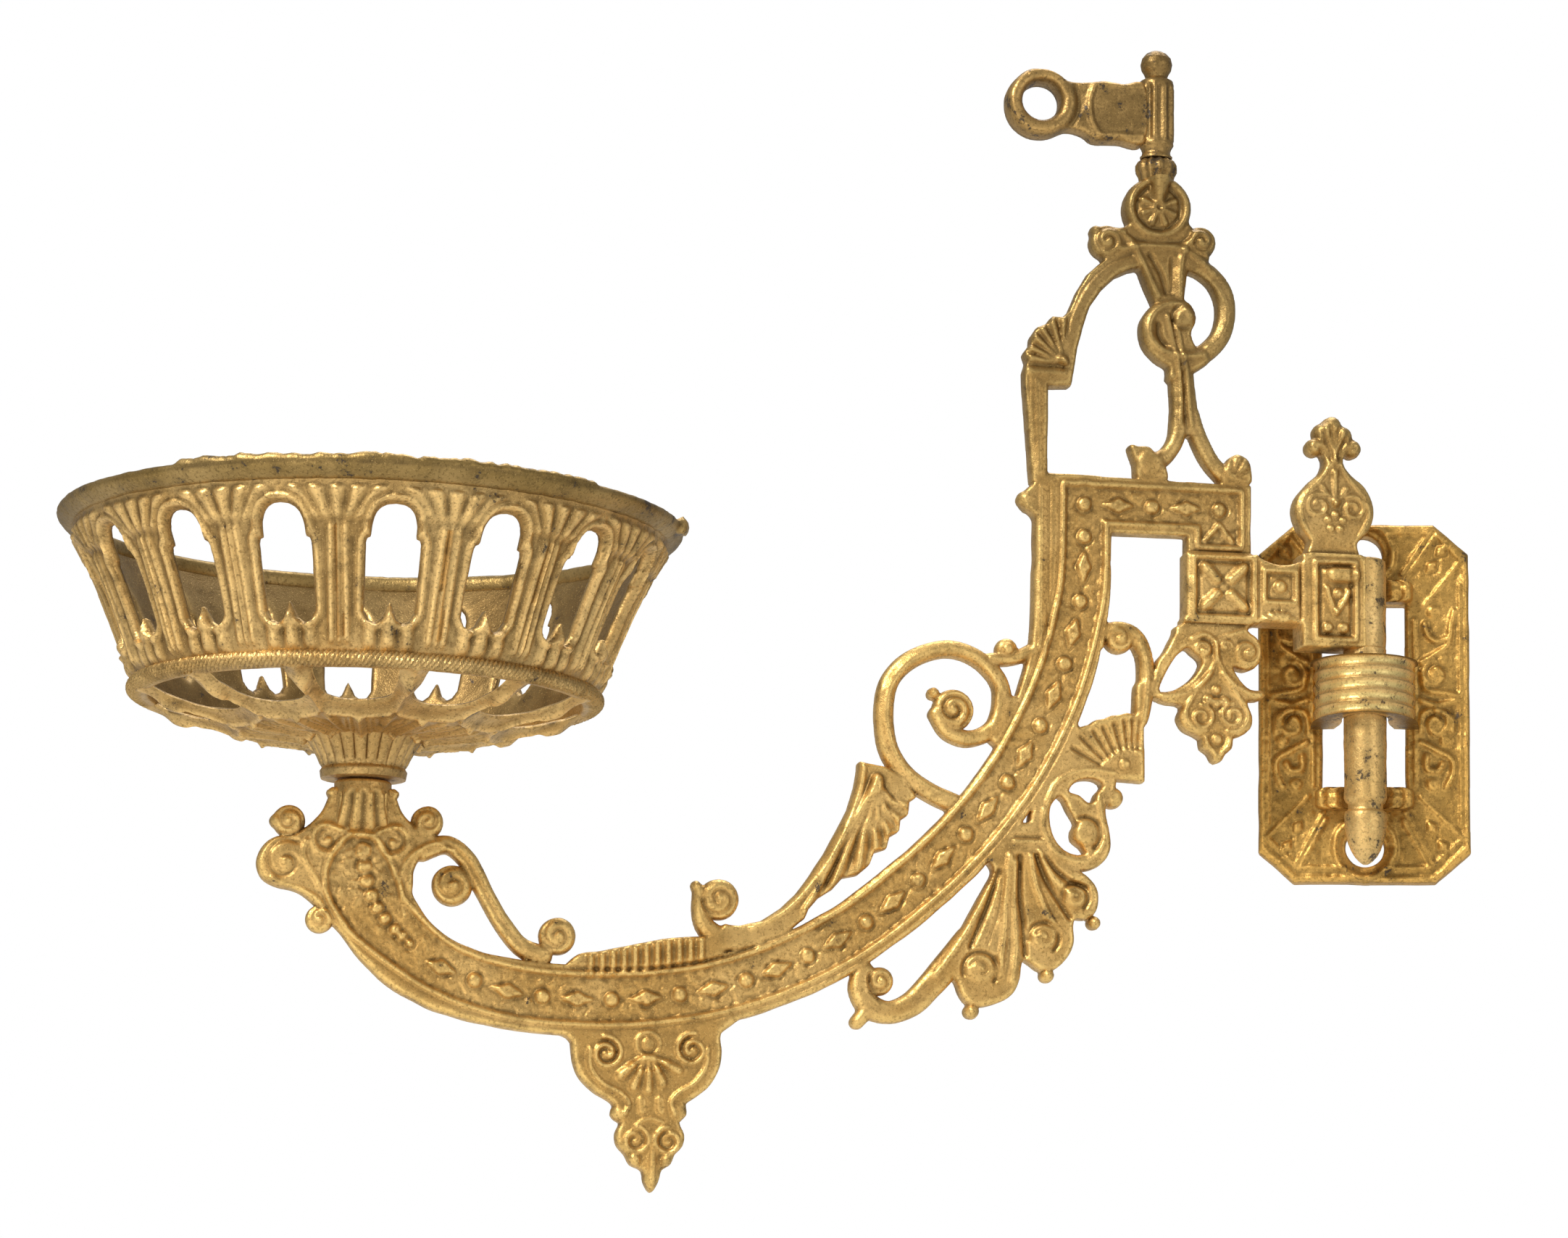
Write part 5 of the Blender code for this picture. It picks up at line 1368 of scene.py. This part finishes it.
# Half the plate's thickness, and where its middle plane stands in front of the wall
PLATE_HALF = 2.68
PLATE_MIDDLE = -2.72


def place_plate(x, z, y):
    return place_wall(x, z, y + PLATE_MIDDLE)


def make_plate():
    plate = Sheet(-24.6, -42.2, 24.6, 42.2, STEP)
    X, Z = plate.X, plate.Z
    plate.thick[:] = PLATE_HALF
    corner = [(23.75, 34.2), (15.9, 41.1), (-15.9, 41.1), (-23.75, 34.2)]
    plate.slab(corner + [(-x, -z) for x, z in corner], smooth=False)
    window = polygon_depth(X, Z, np.array([(-9.4, -20.0), (9.4, -20.0), (9.4, 22.7), (-9.4, 22.7)]))
    holes = np.minimum(np.hypot(X, Z + 33.2), np.hypot(X, Z - 34.2)) - 4.4
    plate.flat = np.minimum(np.minimum(plate.flat, -window), holes)
    # Rolled outer edge, and a horseshoe ring round each screw hole
    corners = (57.4 - np.abs(X) - np.abs(Z)) * 0.7
    edge = np.minimum(24.0 - np.abs(X), np.minimum(41.3 - np.abs(Z), corners))
    plate.relief += hump(edge - 1.0, 0.9, 0.45)
    plate.relief += hump(holes - 2.3, 1.0, 0.7)
    for sign in (-1, 1):

        def line(points, half=0.55, height=0.6):
            plate.ridge([(x * sign, z) for x, z in points], half, height)

        line([(21.7, -28.0), (21.7, 27.0)])
        line([(11.5, -19.0), (11.5, 19.0)])
        # Corner bands, closed at their outer ends, with two diamonds in each
        line([(9.0, 28.0), (16.5, 38.6), (22.0, 32.6), (13.5, 22.0)])
        line([(9.0, -25.0), (15.5, -37.2), (22.0, -31.0), (12.5, -21.5)])
        for x, z, turn in (
            (17.6, 35.0, 48), (15.4, 31.2, 48), (17.5, -33.0, -58), (15.0, -28.6, -58)
        ):
            plate.lozenge(x * sign, z, turn * sign, 2.0, 1.4, 0.6)
        # Trapezoids beside the holes
        line([(4.6, -37.8), (14.6, -37.8), (8.6, -26.8)], 0.6, 0.65)
        line([(4.6, 39.2), (15.0, 39.2), (8.6, 29.4)], 0.6, 0.65)
        # Vine: coiled volutes with eyes, broad stems and small rings
        for x, z, hand in ((16.0, 6.4, 1), (16.2, -5.0, -1)):
            plate.ridge(spiral(x * sign, z, 2.9, 1.0, 90, hand * sign, 0.5), 0.9, 0.85)
            plate.boss(x * sign, z, 1.7, 0.8, 0.1)
        for stem in (
            [(20.4, 21.0), (19.6, 17.4), (19.0, 13.4), (15.8, 10.8), (12.8, 9.2)],
            [(13.8, 18.0), (14.4, 15.6), (16.4, 14.0), (18.4, 14.6)],
            [(12.8, 6.6), (14.0, 3.2), (17.4, 2.2), (20.8, 1.6)],
            [(12.6, 0.4), (16.6, -0.6), (20.8, 0.4)],
            [(12.6, -7.2), (13.2, -2.8), (16.6, -1.8), (19.6, -3.6), (19.8, -6.6)],
            [(12.8, -9.2), (15.8, -10.8), (19.6, -13.2), (19.8, -16.6), (18.4, -19.4)],
            [(14.0, -12.4), (14.0, -15.2), (16.4, -15.8), (17.6, -14.0)],
        ):
            plate.vein([(x * sign, z) for x, z in stem], 1.0, 0.85)
        for x, z in ((15.6, 20.8), (18.2, 9.8), (18.4, -8.8), (15.4, -19.0)):
            ring = np.hypot(X - x * sign, Z - z)
            plate.relief += 0.6 * np.clip(1 - (ring / 1.6) ** 4, 0, 1)
    for z in (25.4, -22.8):
        plate.ridge([(-7.4, z), (7.4, z)], 0.6, 0.45)
    plate.relief = blurred(plate.relief, 1) * PLATE_GAIN
    plate.relief += noise(X, Z, 3.0, 72) * 0.12 + noise(X, Z, 1.1, 73) * 0.12
    plate.flat += noise(X, Z, 4.0, 74) * 0.1
    height = np.minimum(plate.height(edge=0.7, edge_radius=0.8), 3.9)
    back = np.full(X.shape, PLATE_HALF)
    return cast("wall_plate", X, Z, plate.depth(), height, back, place_plate, bulge=0.1)


def make_strap():
    """Reeded band round the spindle, with a foot on each side of the window."""
    low, high = -5.0, 8.2
    reeds = np.linspace(low, high, 56)
    ridge = 0.55 * np.abs(np.sin((reeds - low) / 13.2 * 5 * math.pi)) - 0.15
    ridge += eased_edge(np.minimum(reeds - low, high - reeds), 0.7, 0.6)
    outer = [(11.3, -5.4), (11.4, -7.6), (11.3, -9.8)]
    inner = [(6.8, -5.4), (6.2, -8.0), (5.6, -10.0)]
    for a in np.radians(np.linspace(14, 166, 27)):
        outer.append((11.3 * math.cos(a), -10.0 - 13.0 * math.sin(a)))
        b = math.radians(-12) + (a - math.radians(14)) * 204 / 152
        inner.append((5.25 * math.cos(b), -15.0 - 5.25 * math.sin(b)))
    outer += [(-x, y) for x, y in outer[2::-1]]
    inner += [(-x, y) for x, y in inner[2::-1]]
    outer, inner = curve(outer, 0.6), np.array(inner)
    share = np.linspace(0, 1, len(inner))
    places = np.linspace(0, 1, len(outer))
    inner = np.stack([np.interp(places, share, inner[:, k]) for k in (0, 1)], -1)
    along = np.gradient(outer, axis=0)
    along /= np.hypot(along[:, 0], along[:, 1])[:, None]
    rows, hollow = [], []
    for (x, y), (u, v), (ix, iy) in zip(outer, along, inner):
        out = ridge + 0.07 * noise(reeds, np.full_like(reeds, 3 * x + y), 1.6, 75)
        # The band hangs lower towards the wall
        sag = 1.3 * (23.0 + y) / 17.0
        droop = sag * (6.6 - reeds) / 11.6
        front = np.stack([x + v * out, y - u * out, reeds - np.maximum(droop, 0)], -1)
        rows.append(np.concatenate([front, [(ix, iy, 8.0), (ix, iy, -4.8 - sag)]]))
        # Painted highlight and shade: the reeds' relief, less a little, is the cavity that makes
        # ridges paler and grooves darker
        hollow.append(np.concatenate([ridge - 0.1, [0.0, 0.0]]))
    points = np.array(rows) * MM
    return skin("spindle_strap", points[::-1], np.array(hollow)[::-1], False)


def make_lug(name, low, high, up):
    """A two-horned rest behind the spindle, rounded at its top and bottom."""
    half = [(0.0, -7.7), (2.6, -7.4), (4.4, -7.8), (5.4, -9.0), (6.6, -9.5), (7.6, -9.1)]
    half += [(8.2, -8.9), (8.9, -9.2), (9.9, -9.4), (10.8, -8.6), (11.1, -7.2), (11.1, -5.2)]
    outline = curve(half, 0.5)
    outline = np.concatenate([outline, outline[::-1] * (-1, 1)])[-2:0:-1]
    centre = np.array((0.0, -6.0))
    rows, hollow = [], []
    for t in np.linspace(0, 1, 13):
        inset = 1 - 0.16 * (1 - math.sqrt(1 - (1 - min(t, 1 - t, 0.25) / 0.25) ** 2))
        ring = centre + (outline - centre) * inset
        ring[:, 1] = np.where(outline[:, 1] > -5.6, outline[:, 1], ring[:, 1])
        ring[:, 1] -= 0.25 * math.cos(4 * math.pi * t) * np.clip(-8.2 - ring[:, 1], 0, 1)
        z = high + (low - high) * t
        bump = 0.08 * noise(ring[:, 0], ring[:, 1] + z, 1.4, 76 + up)
        rows.append(np.stack([ring[:, 0] + bump, ring[:, 1] + bump, np.full_like(bump, z)], -1))
        # Painted shade and highlight: the cavity falls from the front edge to the wall, so the lug
        # is paler in front and darker towards the wall
        hollow.append(0.1 * (-6.8 - ring[:, 1]))
    return skin(name, np.array(rows)[:, ::-1] * MM, np.array(hollow)[:, ::-1], False)


# Reflector holder


def make_holder():
    def fluted(S, A, R, Z):
        body = step_up(Z, 125.4, 126.4) * step_up(-Z, -139.2, -138.2)
        return body * 0.3 * np.cos(10 * A) + 0.07 * around_noise(A, 3.8, Z, 1.6, 81)

    barrel = [(0.0, 147.5), (1.3, 147.3), (2.4, 146.7), (3.3, 145.6), (3.65, 144.2), (3.4, 142.9)]
    barrel += [(2.8, 141.9), (2.5, 141.1), (3.0, 140.6), (3.8, 140.1), (4.0, 139.2), (3.9, 137.6)]
    barrel += [(3.9, 126.0), (4.0, 125.0), (3.5, 124.2), (3.2, 123.4), (3.3, 122.7), (3.7, 122.3)]
    barrel += [(3.6, 121.8), (0.0, 121.7)]
    eye = Sheet(-37.0, 122.0, -2.0, 143.0, STEP * 0.8)
    X, Z = eye.X, eye.Z
    web = [(-3.0, 138.4), (-3.0, 125.4), (-9.0, 125.2), (-14.6, 125.0), (-17.0, 126.6),
           (-20.0, 127.4), (-24.0, 127.0), (-27.0, 128.0), (-27.0, 138.6), (-22.0, 138.6),
           (-18.0, 138.2), (-13.0, 139.0), (-8.0, 138.6)]
    eye.slab(web)
    eye.slab(arc(-27.2, 133.2, 7.9, 0, 354, 60), smooth=False)
    eye.flat = np.minimum(eye.flat, np.hypot(X + 27.2, Z - 133.5) - 4.5)
    # Thick round ring, a smooth web and a flat panel with a rolled left border
    away = np.hypot(X + 27.2, Z - 133.3)
    eye.relief += hump(away - 6.3, 1.9, 1.1)
    eye.relief -= hump(away - 8.8, 0.8, 0.35)
    eye.vein([(-15.0, 138.0), (-16.2, 134.0), (-15.8, 129.6), (-14.0, 126.0)], 1.1, 0.8)
    eye.ridge([(-14.0, 138.0), (-4.0, 137.8)], 0.8, 0.45)
    eye.ridge([(-13.0, 126.2), (-4.0, 126.4)], 0.8, 0.45)
    eye.relief = blurred(eye.relief, 2)
    eye.relief += noise(X, Z, 2.4, 83) * 0.12 + noise(X, Z, 1.0, 84) * 0.07
    eye.flat += noise(X, Z, 3.0, 85) * 0.12
    height = eye.height()
    return [
        turned("reflector_barrel", barrel, ABOUT_SWIVEL, 96, fluted, step=0.4),
        cast("reflector_eye", X + SWIVEL_X, Z, eye.depth(), height, height, place_arm),
    ]


# Materials


class Paint:
    """A material and short ways to add nodes to it. A value is a number, a colour or a socket."""

    def __init__(self, name):
        self.material = bpy.data.materials.new(name)
        self.material.use_nodes = True
        self.nodes = self.material.node_tree.nodes
        self.shader = self.nodes["Principled BSDF"]

    def give(self, socket, value):
        if isinstance(value, bpy.types.NodeSocket):
            self.material.node_tree.links.new(value, socket)
        else:
            socket.default_value = value

    def node(self, kind, **values):
        node = self.nodes.new("ShaderNode" + kind)
        for key, value in values.items():
            self.give(node.inputs[key.replace("_", " ")], value)
        return node

    def set(self, key, value):
        self.give(self.shader.inputs[key], value)

    def millimetres(self):
        """The place on the piece in millimetres."""
        node = self.node("VectorMath")
        node.operation = "SCALE"
        self.give(node.inputs[0], self.node("TexCoord").outputs["Object"])
        self.give(node.inputs["Scale"], 1000.0)
        return node.outputs[0]

    def noise(self, vector, scale, detail=3.0, roughness=0.55):
        node = self.node("TexNoise", Vector=vector, Scale=scale, Detail=detail, Roughness=roughness)
        return node.outputs["Fac"]

    def remap(self, value, low, high, to_low=0.0, to_high=1.0):
        node = self.node("MapRange", From_Min=low, From_Max=high, To_Min=to_low, To_Max=to_high)
        node.interpolation_type = "SMOOTHSTEP"
        self.give(node.inputs["Value"], value)
        return node.outputs["Result"]

    def mixed(self, factor, first, second):
        node = self.node("Mix")
        node.data_type = "RGBA"
        for socket, value in zip([s for s in node.inputs if s.enabled], (factor, first, second)):
            self.give(socket, value)
        return [s for s in node.outputs if s.enabled][0]

    def plus(self, first, second, share):
        """First plus a share of second."""
        part, total = self.node("Math"), self.node("Math")
        part.operation = "MULTIPLY"
        total.operation = "ADD"
        for socket, value in zip((*part.inputs[:2], *total.inputs[:2]),
                                 (second, share, first, part.outputs[0])):
            self.give(socket, value)
        return total.outputs[0]

    def bump(self, height, strength, distance):
        node = self.node("Bump", Strength=strength, Distance=distance, Height=height)
        self.set("Normal", node.outputs["Normal"])


def srgb(red, green, blue):
    """A colour named by its 0-255 display values."""

    def linear(value):
        value /= 255
        return value / 12.92 if value <= 0.04045 else ((value + 0.055) / 1.055) ** 2.4

    return (linear(red), linear(green), linear(blue), 1.0)


def gilt(name, light, deep, hollow_shade_and_dirt, wear=0.5, top_shade=0.0):
    """Old gold paint over cast iron: a painted highlight where the casting stands out, painted
    shade with some dirt in its hollows, pale speckle as painted glints, faint darker clouds and, by
    the amount of wear, spots rubbed down to iron.
    Top shade is painted shade: the colour turns browner towards the top of the arm."""
    paint = Paint(name)
    vector = paint.millimetres()
    hollow = paint.node("Attribute")
    hollow.attribute_name = "cavity"
    cavity = hollow.outputs["Fac"]
    clouds = paint.noise(vector, 0.045, 2.0)
    patches = paint.noise(vector, 0.22, 4.0, 0.62)
    grain = paint.noise(vector, 1.6, 3.0, 0.6)
    speck = paint.noise(vector, 3.4, 2.0, 0.5)
    # Painted highlight: a paler gold for the raised relief and for glints
    painted_highlight = tuple(min(c * 1.4, 1.0) for c in light[:3]) + (1.0,)
    brown = tuple(0.42 * c for c in deep[:3]) + (1.0,)
    colour = paint.mixed(paint.remap(clouds, 0.38, 0.64), deep, light)
    for value, low, high, most, over in (
        # Painted highlight on the raised relief and on the walls round outlines
        (cavity, 0.02, 0.4, 0.75, painted_highlight),
        (patches, 0.46, 0.72, 0.6, brown),
        # Painted shade with some dirt: the hollows of the relief are darkened
        (cavity, 0.0, -0.5, 0.85, hollow_shade_and_dirt),
        (grain, 0.5, 0.68, 0.6, brown),
        # Painted glints: pale flecks that stand for the paint's sparkle
        (speck, 0.6, 0.72, 0.55, painted_highlight),
    ):
        colour = paint.mixed(paint.remap(value, low, high, 0.0, most), colour, over)
    rubbed = paint.plus(patches, grain, 0.35)
    iron_spots = paint.remap(rubbed, 0.92 - 0.2 * wear, 0.98 - 0.2 * wear, 0.0, 0.85)
    colour = paint.mixed(iron_spots, colour, srgb(58, 47, 36))
    # Painted shade: the colour turns browner towards the top of the arm
    if top_shade:
        split = paint.node("SeparateXYZ", Vector=vector)
        height = paint.remap(split.outputs["Z"], 5.0, 95.0, 0.0, top_shade)
        colour = paint.mixed(height, colour, srgb(110, 88, 50))
    paint.set("Base Color", colour)
    paint.set("Metallic", paint.remap(iron_spots, 0.0, 0.85, 0.78, 0.35))
    paint.set("Roughness", paint.remap(grain, 0.3, 0.7, 0.4 - 0.08, 0.4 + 0.12))
    paint.bump(paint.plus(grain, speck, 0.6), 0.55, 0.00012)
    return paint.material


def steel(name):
    """Dark turned steel with a little rust."""
    paint = Paint(name)
    grain = paint.noise(paint.millimetres(), 0.9, 4.0, 0.6)
    rust = paint.remap(grain, 0.4, 0.62)
    paint.set("Base Color", paint.mixed(rust, srgb(104, 98, 90), srgb(72, 54, 38)))
    paint.set("Metallic", paint.remap(grain, 0.3, 0.7, 0.9, 0.6))
    paint.set("Roughness", paint.remap(grain, 0.3, 0.7, 0.32, 0.6))
    paint.bump(grain, 0.3, 0.0001)
    return paint.material


LIGHT_GOLD = srgb(226, 184, 112)
# Painted shade with some dirt: the dark brown put into the relief's hollows
HOLLOW_SHADE_AND_DIRT = srgb(96, 72, 34)
ARM_GOLD = gilt("gold_paint_arm", LIGHT_GOLD, srgb(205, 160, 88), HOLLOW_SHADE_AND_DIRT, wear=0.3, top_shade=0.6)
ROD_GOLD = gilt("gold_paint_rod", srgb(240, 200, 130), LIGHT_GOLD, HOLLOW_SHADE_AND_DIRT, wear=0.75)
CUP_GOLD = gilt("gold_paint_cup", srgb(216, 180, 116), srgb(190, 152, 90), HOLLOW_SHADE_AND_DIRT, wear=0.35)
# Shaded copy of the cup gold: the rim is darker all round as painted shade, for its shadowed
# underside
SHADED_RIM_GOLD = gilt(
    "gold_paint_rim_shaded", srgb(178, 148, 92), srgb(150, 122, 68), srgb(64, 48, 26), wear=0.6
)
PLATE_GOLD = gilt(
    "gold_paint_plate", srgb(214, 168, 88), srgb(186, 142, 68), srgb(90, 66, 28), wear=0.4
)
# Shaded copy of the gold: the holder and the pin boss are darker as painted shade, as upper parts
SHADED_HOLDER_GOLD = gilt(
    "gold_paint_holder_shaded", srgb(186, 150, 90), srgb(148, 118, 68), srgb(74, 56, 28), wear=0.7
)
STEEL = steel("dark_steel")


def place_piece(obj, body, material, nodes):
    obj.data.materials.clear()
    obj.data.materials.append(material)
    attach(obj, body)
    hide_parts(*nodes)


HEAD_NODES = ["arm_head", "head_scroll", "reeded_strip", "hook_volute", "lower_pendant"]
CURVE_NODES = ["main_band", "wing_leaf", "ring_scroll", "pleated_fan", "loop_curl",
               "lower_palmette", "tail_scroll"]
FRAME_NODES = ["frame_post", "frame_rail", "flower_block", "link_neck", "hinge_block",
               "palmette_finial", "block_pendant", "pendant_link", "stem_scroll", "upper_strut",
               "upper_loop", "top_wheel"]

arm_head, arm_curve, arm_frame = make_arm()
place_piece(arm_head, "arm", ARM_GOLD, HEAD_NODES)
place_piece(arm_curve, "arm", ARM_GOLD, CURVE_NODES)
place_piece(arm_frame, "arm", ARM_GOLD, FRAME_NODES)
place_piece(make_neck(), "arm", ARM_GOLD, ["arm_neck"])
rod, barrel, boss = make_spindle()
place_piece(rod, "arm", ROD_GOLD, ["hinge_spindle"])
place_piece(barrel, "arm", ROD_GOLD, ["hinge_block"])
place_piece(boss, "arm", SHADED_HOLDER_GOLD, ["pin_boss"])
wall_ring, bowl, rope_ring, rim, collar = make_cup()
quarters = range(1, 5)
place_piece(wall_ring, "cup", CUP_GOLD, [f"cup_arcade_{i}" for i in quarters])
place_piece(bowl, "cup", CUP_GOLD, [f"cup_bowl_{i}" for i in quarters])
place_piece(rope_ring, "cup", CUP_GOLD, ["cup_rope_ring"])
place_piece(rim, "cup", SHADED_RIM_GOLD, ["cup_rim"])
place_piece(collar, "cup", CUP_GOLD, ["cup_collar"])
place_piece(make_plate(), "wall_bracket", PLATE_GOLD, ["wall_plate"])
place_piece(make_strap(), "wall_bracket", ROD_GOLD, ["spindle_strap"])
for lug, low, high, up in (("top_lug", 22.6, 27.6, 1), ("bottom_lug", -24.8, -19.9, 0)):
    place_piece(make_lug(lug, low, high, up), "wall_bracket", PLATE_GOLD, [lug])
holder_barrel, holder_eye = make_holder()
place_piece(holder_barrel, "reflector_holder", SHADED_HOLDER_GOLD, ["reflector_barrel"])
place_piece(holder_eye, "reflector_holder", SHADED_HOLDER_GOLD, ["reflector_eye"])
for key in ("reflector_peg", "cup_screw"):
    node = frame["nodes"][key]
    node.data.materials.clear()
    node.data.materials.append(STEEL)


# Floor, light and camera

FLOOR_Z = -0.30
floor_mesh = bpy.data.meshes.new("floor")
floor_mesh.from_pydata([(-4, -4, 0), (4, -4, 0), (4, 4, 0), (-4, 4, 0)], [], [(0, 1, 2, 3)])
floor = bpy.data.objects.new("floor", floor_mesh)
floor.location.z = FLOOR_Z
bpy.context.scene.collection.objects.link(floor)
floor_paint = Paint("pale_floor")
floor_grain = floor_paint.noise(floor_paint.node("TexCoord").outputs["Object"], 30.0)
floor_colour = floor_paint.mixed(floor_grain, srgb(238, 238, 236), srgb(244, 244, 243))
floor_paint.set("Base Color", floor_colour)
floor_paint.set("Roughness", 0.8)
floor_mesh.materials.append(floor_paint.material)

scene = bpy.context.scene
scene.view_settings.view_transform = "Standard"
world = bpy.data.worlds.new("studio")
world.use_nodes = True
scene.world = world
sky, sky_links = world.node_tree.nodes, world.node_tree.links
backdrop = sky["Background"]
backdrop.inputs["Color"].default_value = (1.0, 1.0, 1.0, 1.0)
fill = sky.new("ShaderNodeBackground")
fill.inputs["Color"].default_value = (0.92, 0.95, 1.0, 1.0)
fill.inputs["Strength"].default_value = 0.3
choice = sky.new("ShaderNodeMixShader")
sky_links.new(sky.new("ShaderNodeLightPath").outputs["Is Camera Ray"], choice.inputs["Fac"])
sky_links.new(fill.outputs[0], choice.inputs[1])
sky_links.new(backdrop.outputs[0], choice.inputs[2])
sky_links.new(choice.outputs[0], sky["World Output"].inputs["Surface"])


def area_light(name, x, y, z, size, power, colour, target=(-0.1, 0.0, 0.0)):
    data = bpy.data.lights.new(name, "AREA")
    data.size = size
    data.energy = power
    data.color = colour
    lamp = bpy.data.objects.new(name, data)
    lamp.location = (x, y, z)
    lamp.rotation_euler = (Vector(target) - lamp.location).to_track_quat("-Z", "Y").to_euler()
    scene.collection.objects.link(lamp)


area_light("key", -0.7, -1.0, 0.9, 0.35, 14.5, (1.0, 0.98, 0.95))
area_light("fill", 0.9, -0.9, 0.2, 0.8, 2.6, (1.0, 1.0, 1.0))
area_light("top", -0.1, 0.4, 1.1, 0.8, 6.5, (1.0, 1.0, 1.0))
area_light("low", -0.3, -0.8, -0.25, 0.5, 1.2, (1.0, 0.97, 0.92))

camera_data = bpy.data.cameras.new("camera")
# A telephoto lens, 6200 / 2164 of the picture's width
camera_data.sensor_width = 36.0
camera_data.lens = 6200 / 2164 * 36.0
camera_data.clip_start = 0.01
camera = bpy.data.objects.new("camera", camera_data)
pitch, yaw, roll = (math.radians(a) for a in (10.22, 6.07, 1.02))
ahead = Vector((-math.sin(yaw) * math.cos(pitch), math.cos(yaw) * math.cos(pitch), math.sin(pitch)))
right = Vector((math.cos(yaw), math.sin(yaw), 0.0))
up = right.cross(ahead)
right, up = (
    math.cos(roll) * right + math.sin(roll) * up,
    math.cos(roll) * up - math.sin(roll) * right,
)
turn = Matrix((right, up, -ahead)).transposed()
camera.matrix_world = Matrix.Translation((-0.0248, -1.0207, -0.1647)) @ turn.to_4x4()
scene.collection.objects.link(camera)
scene.camera = camera
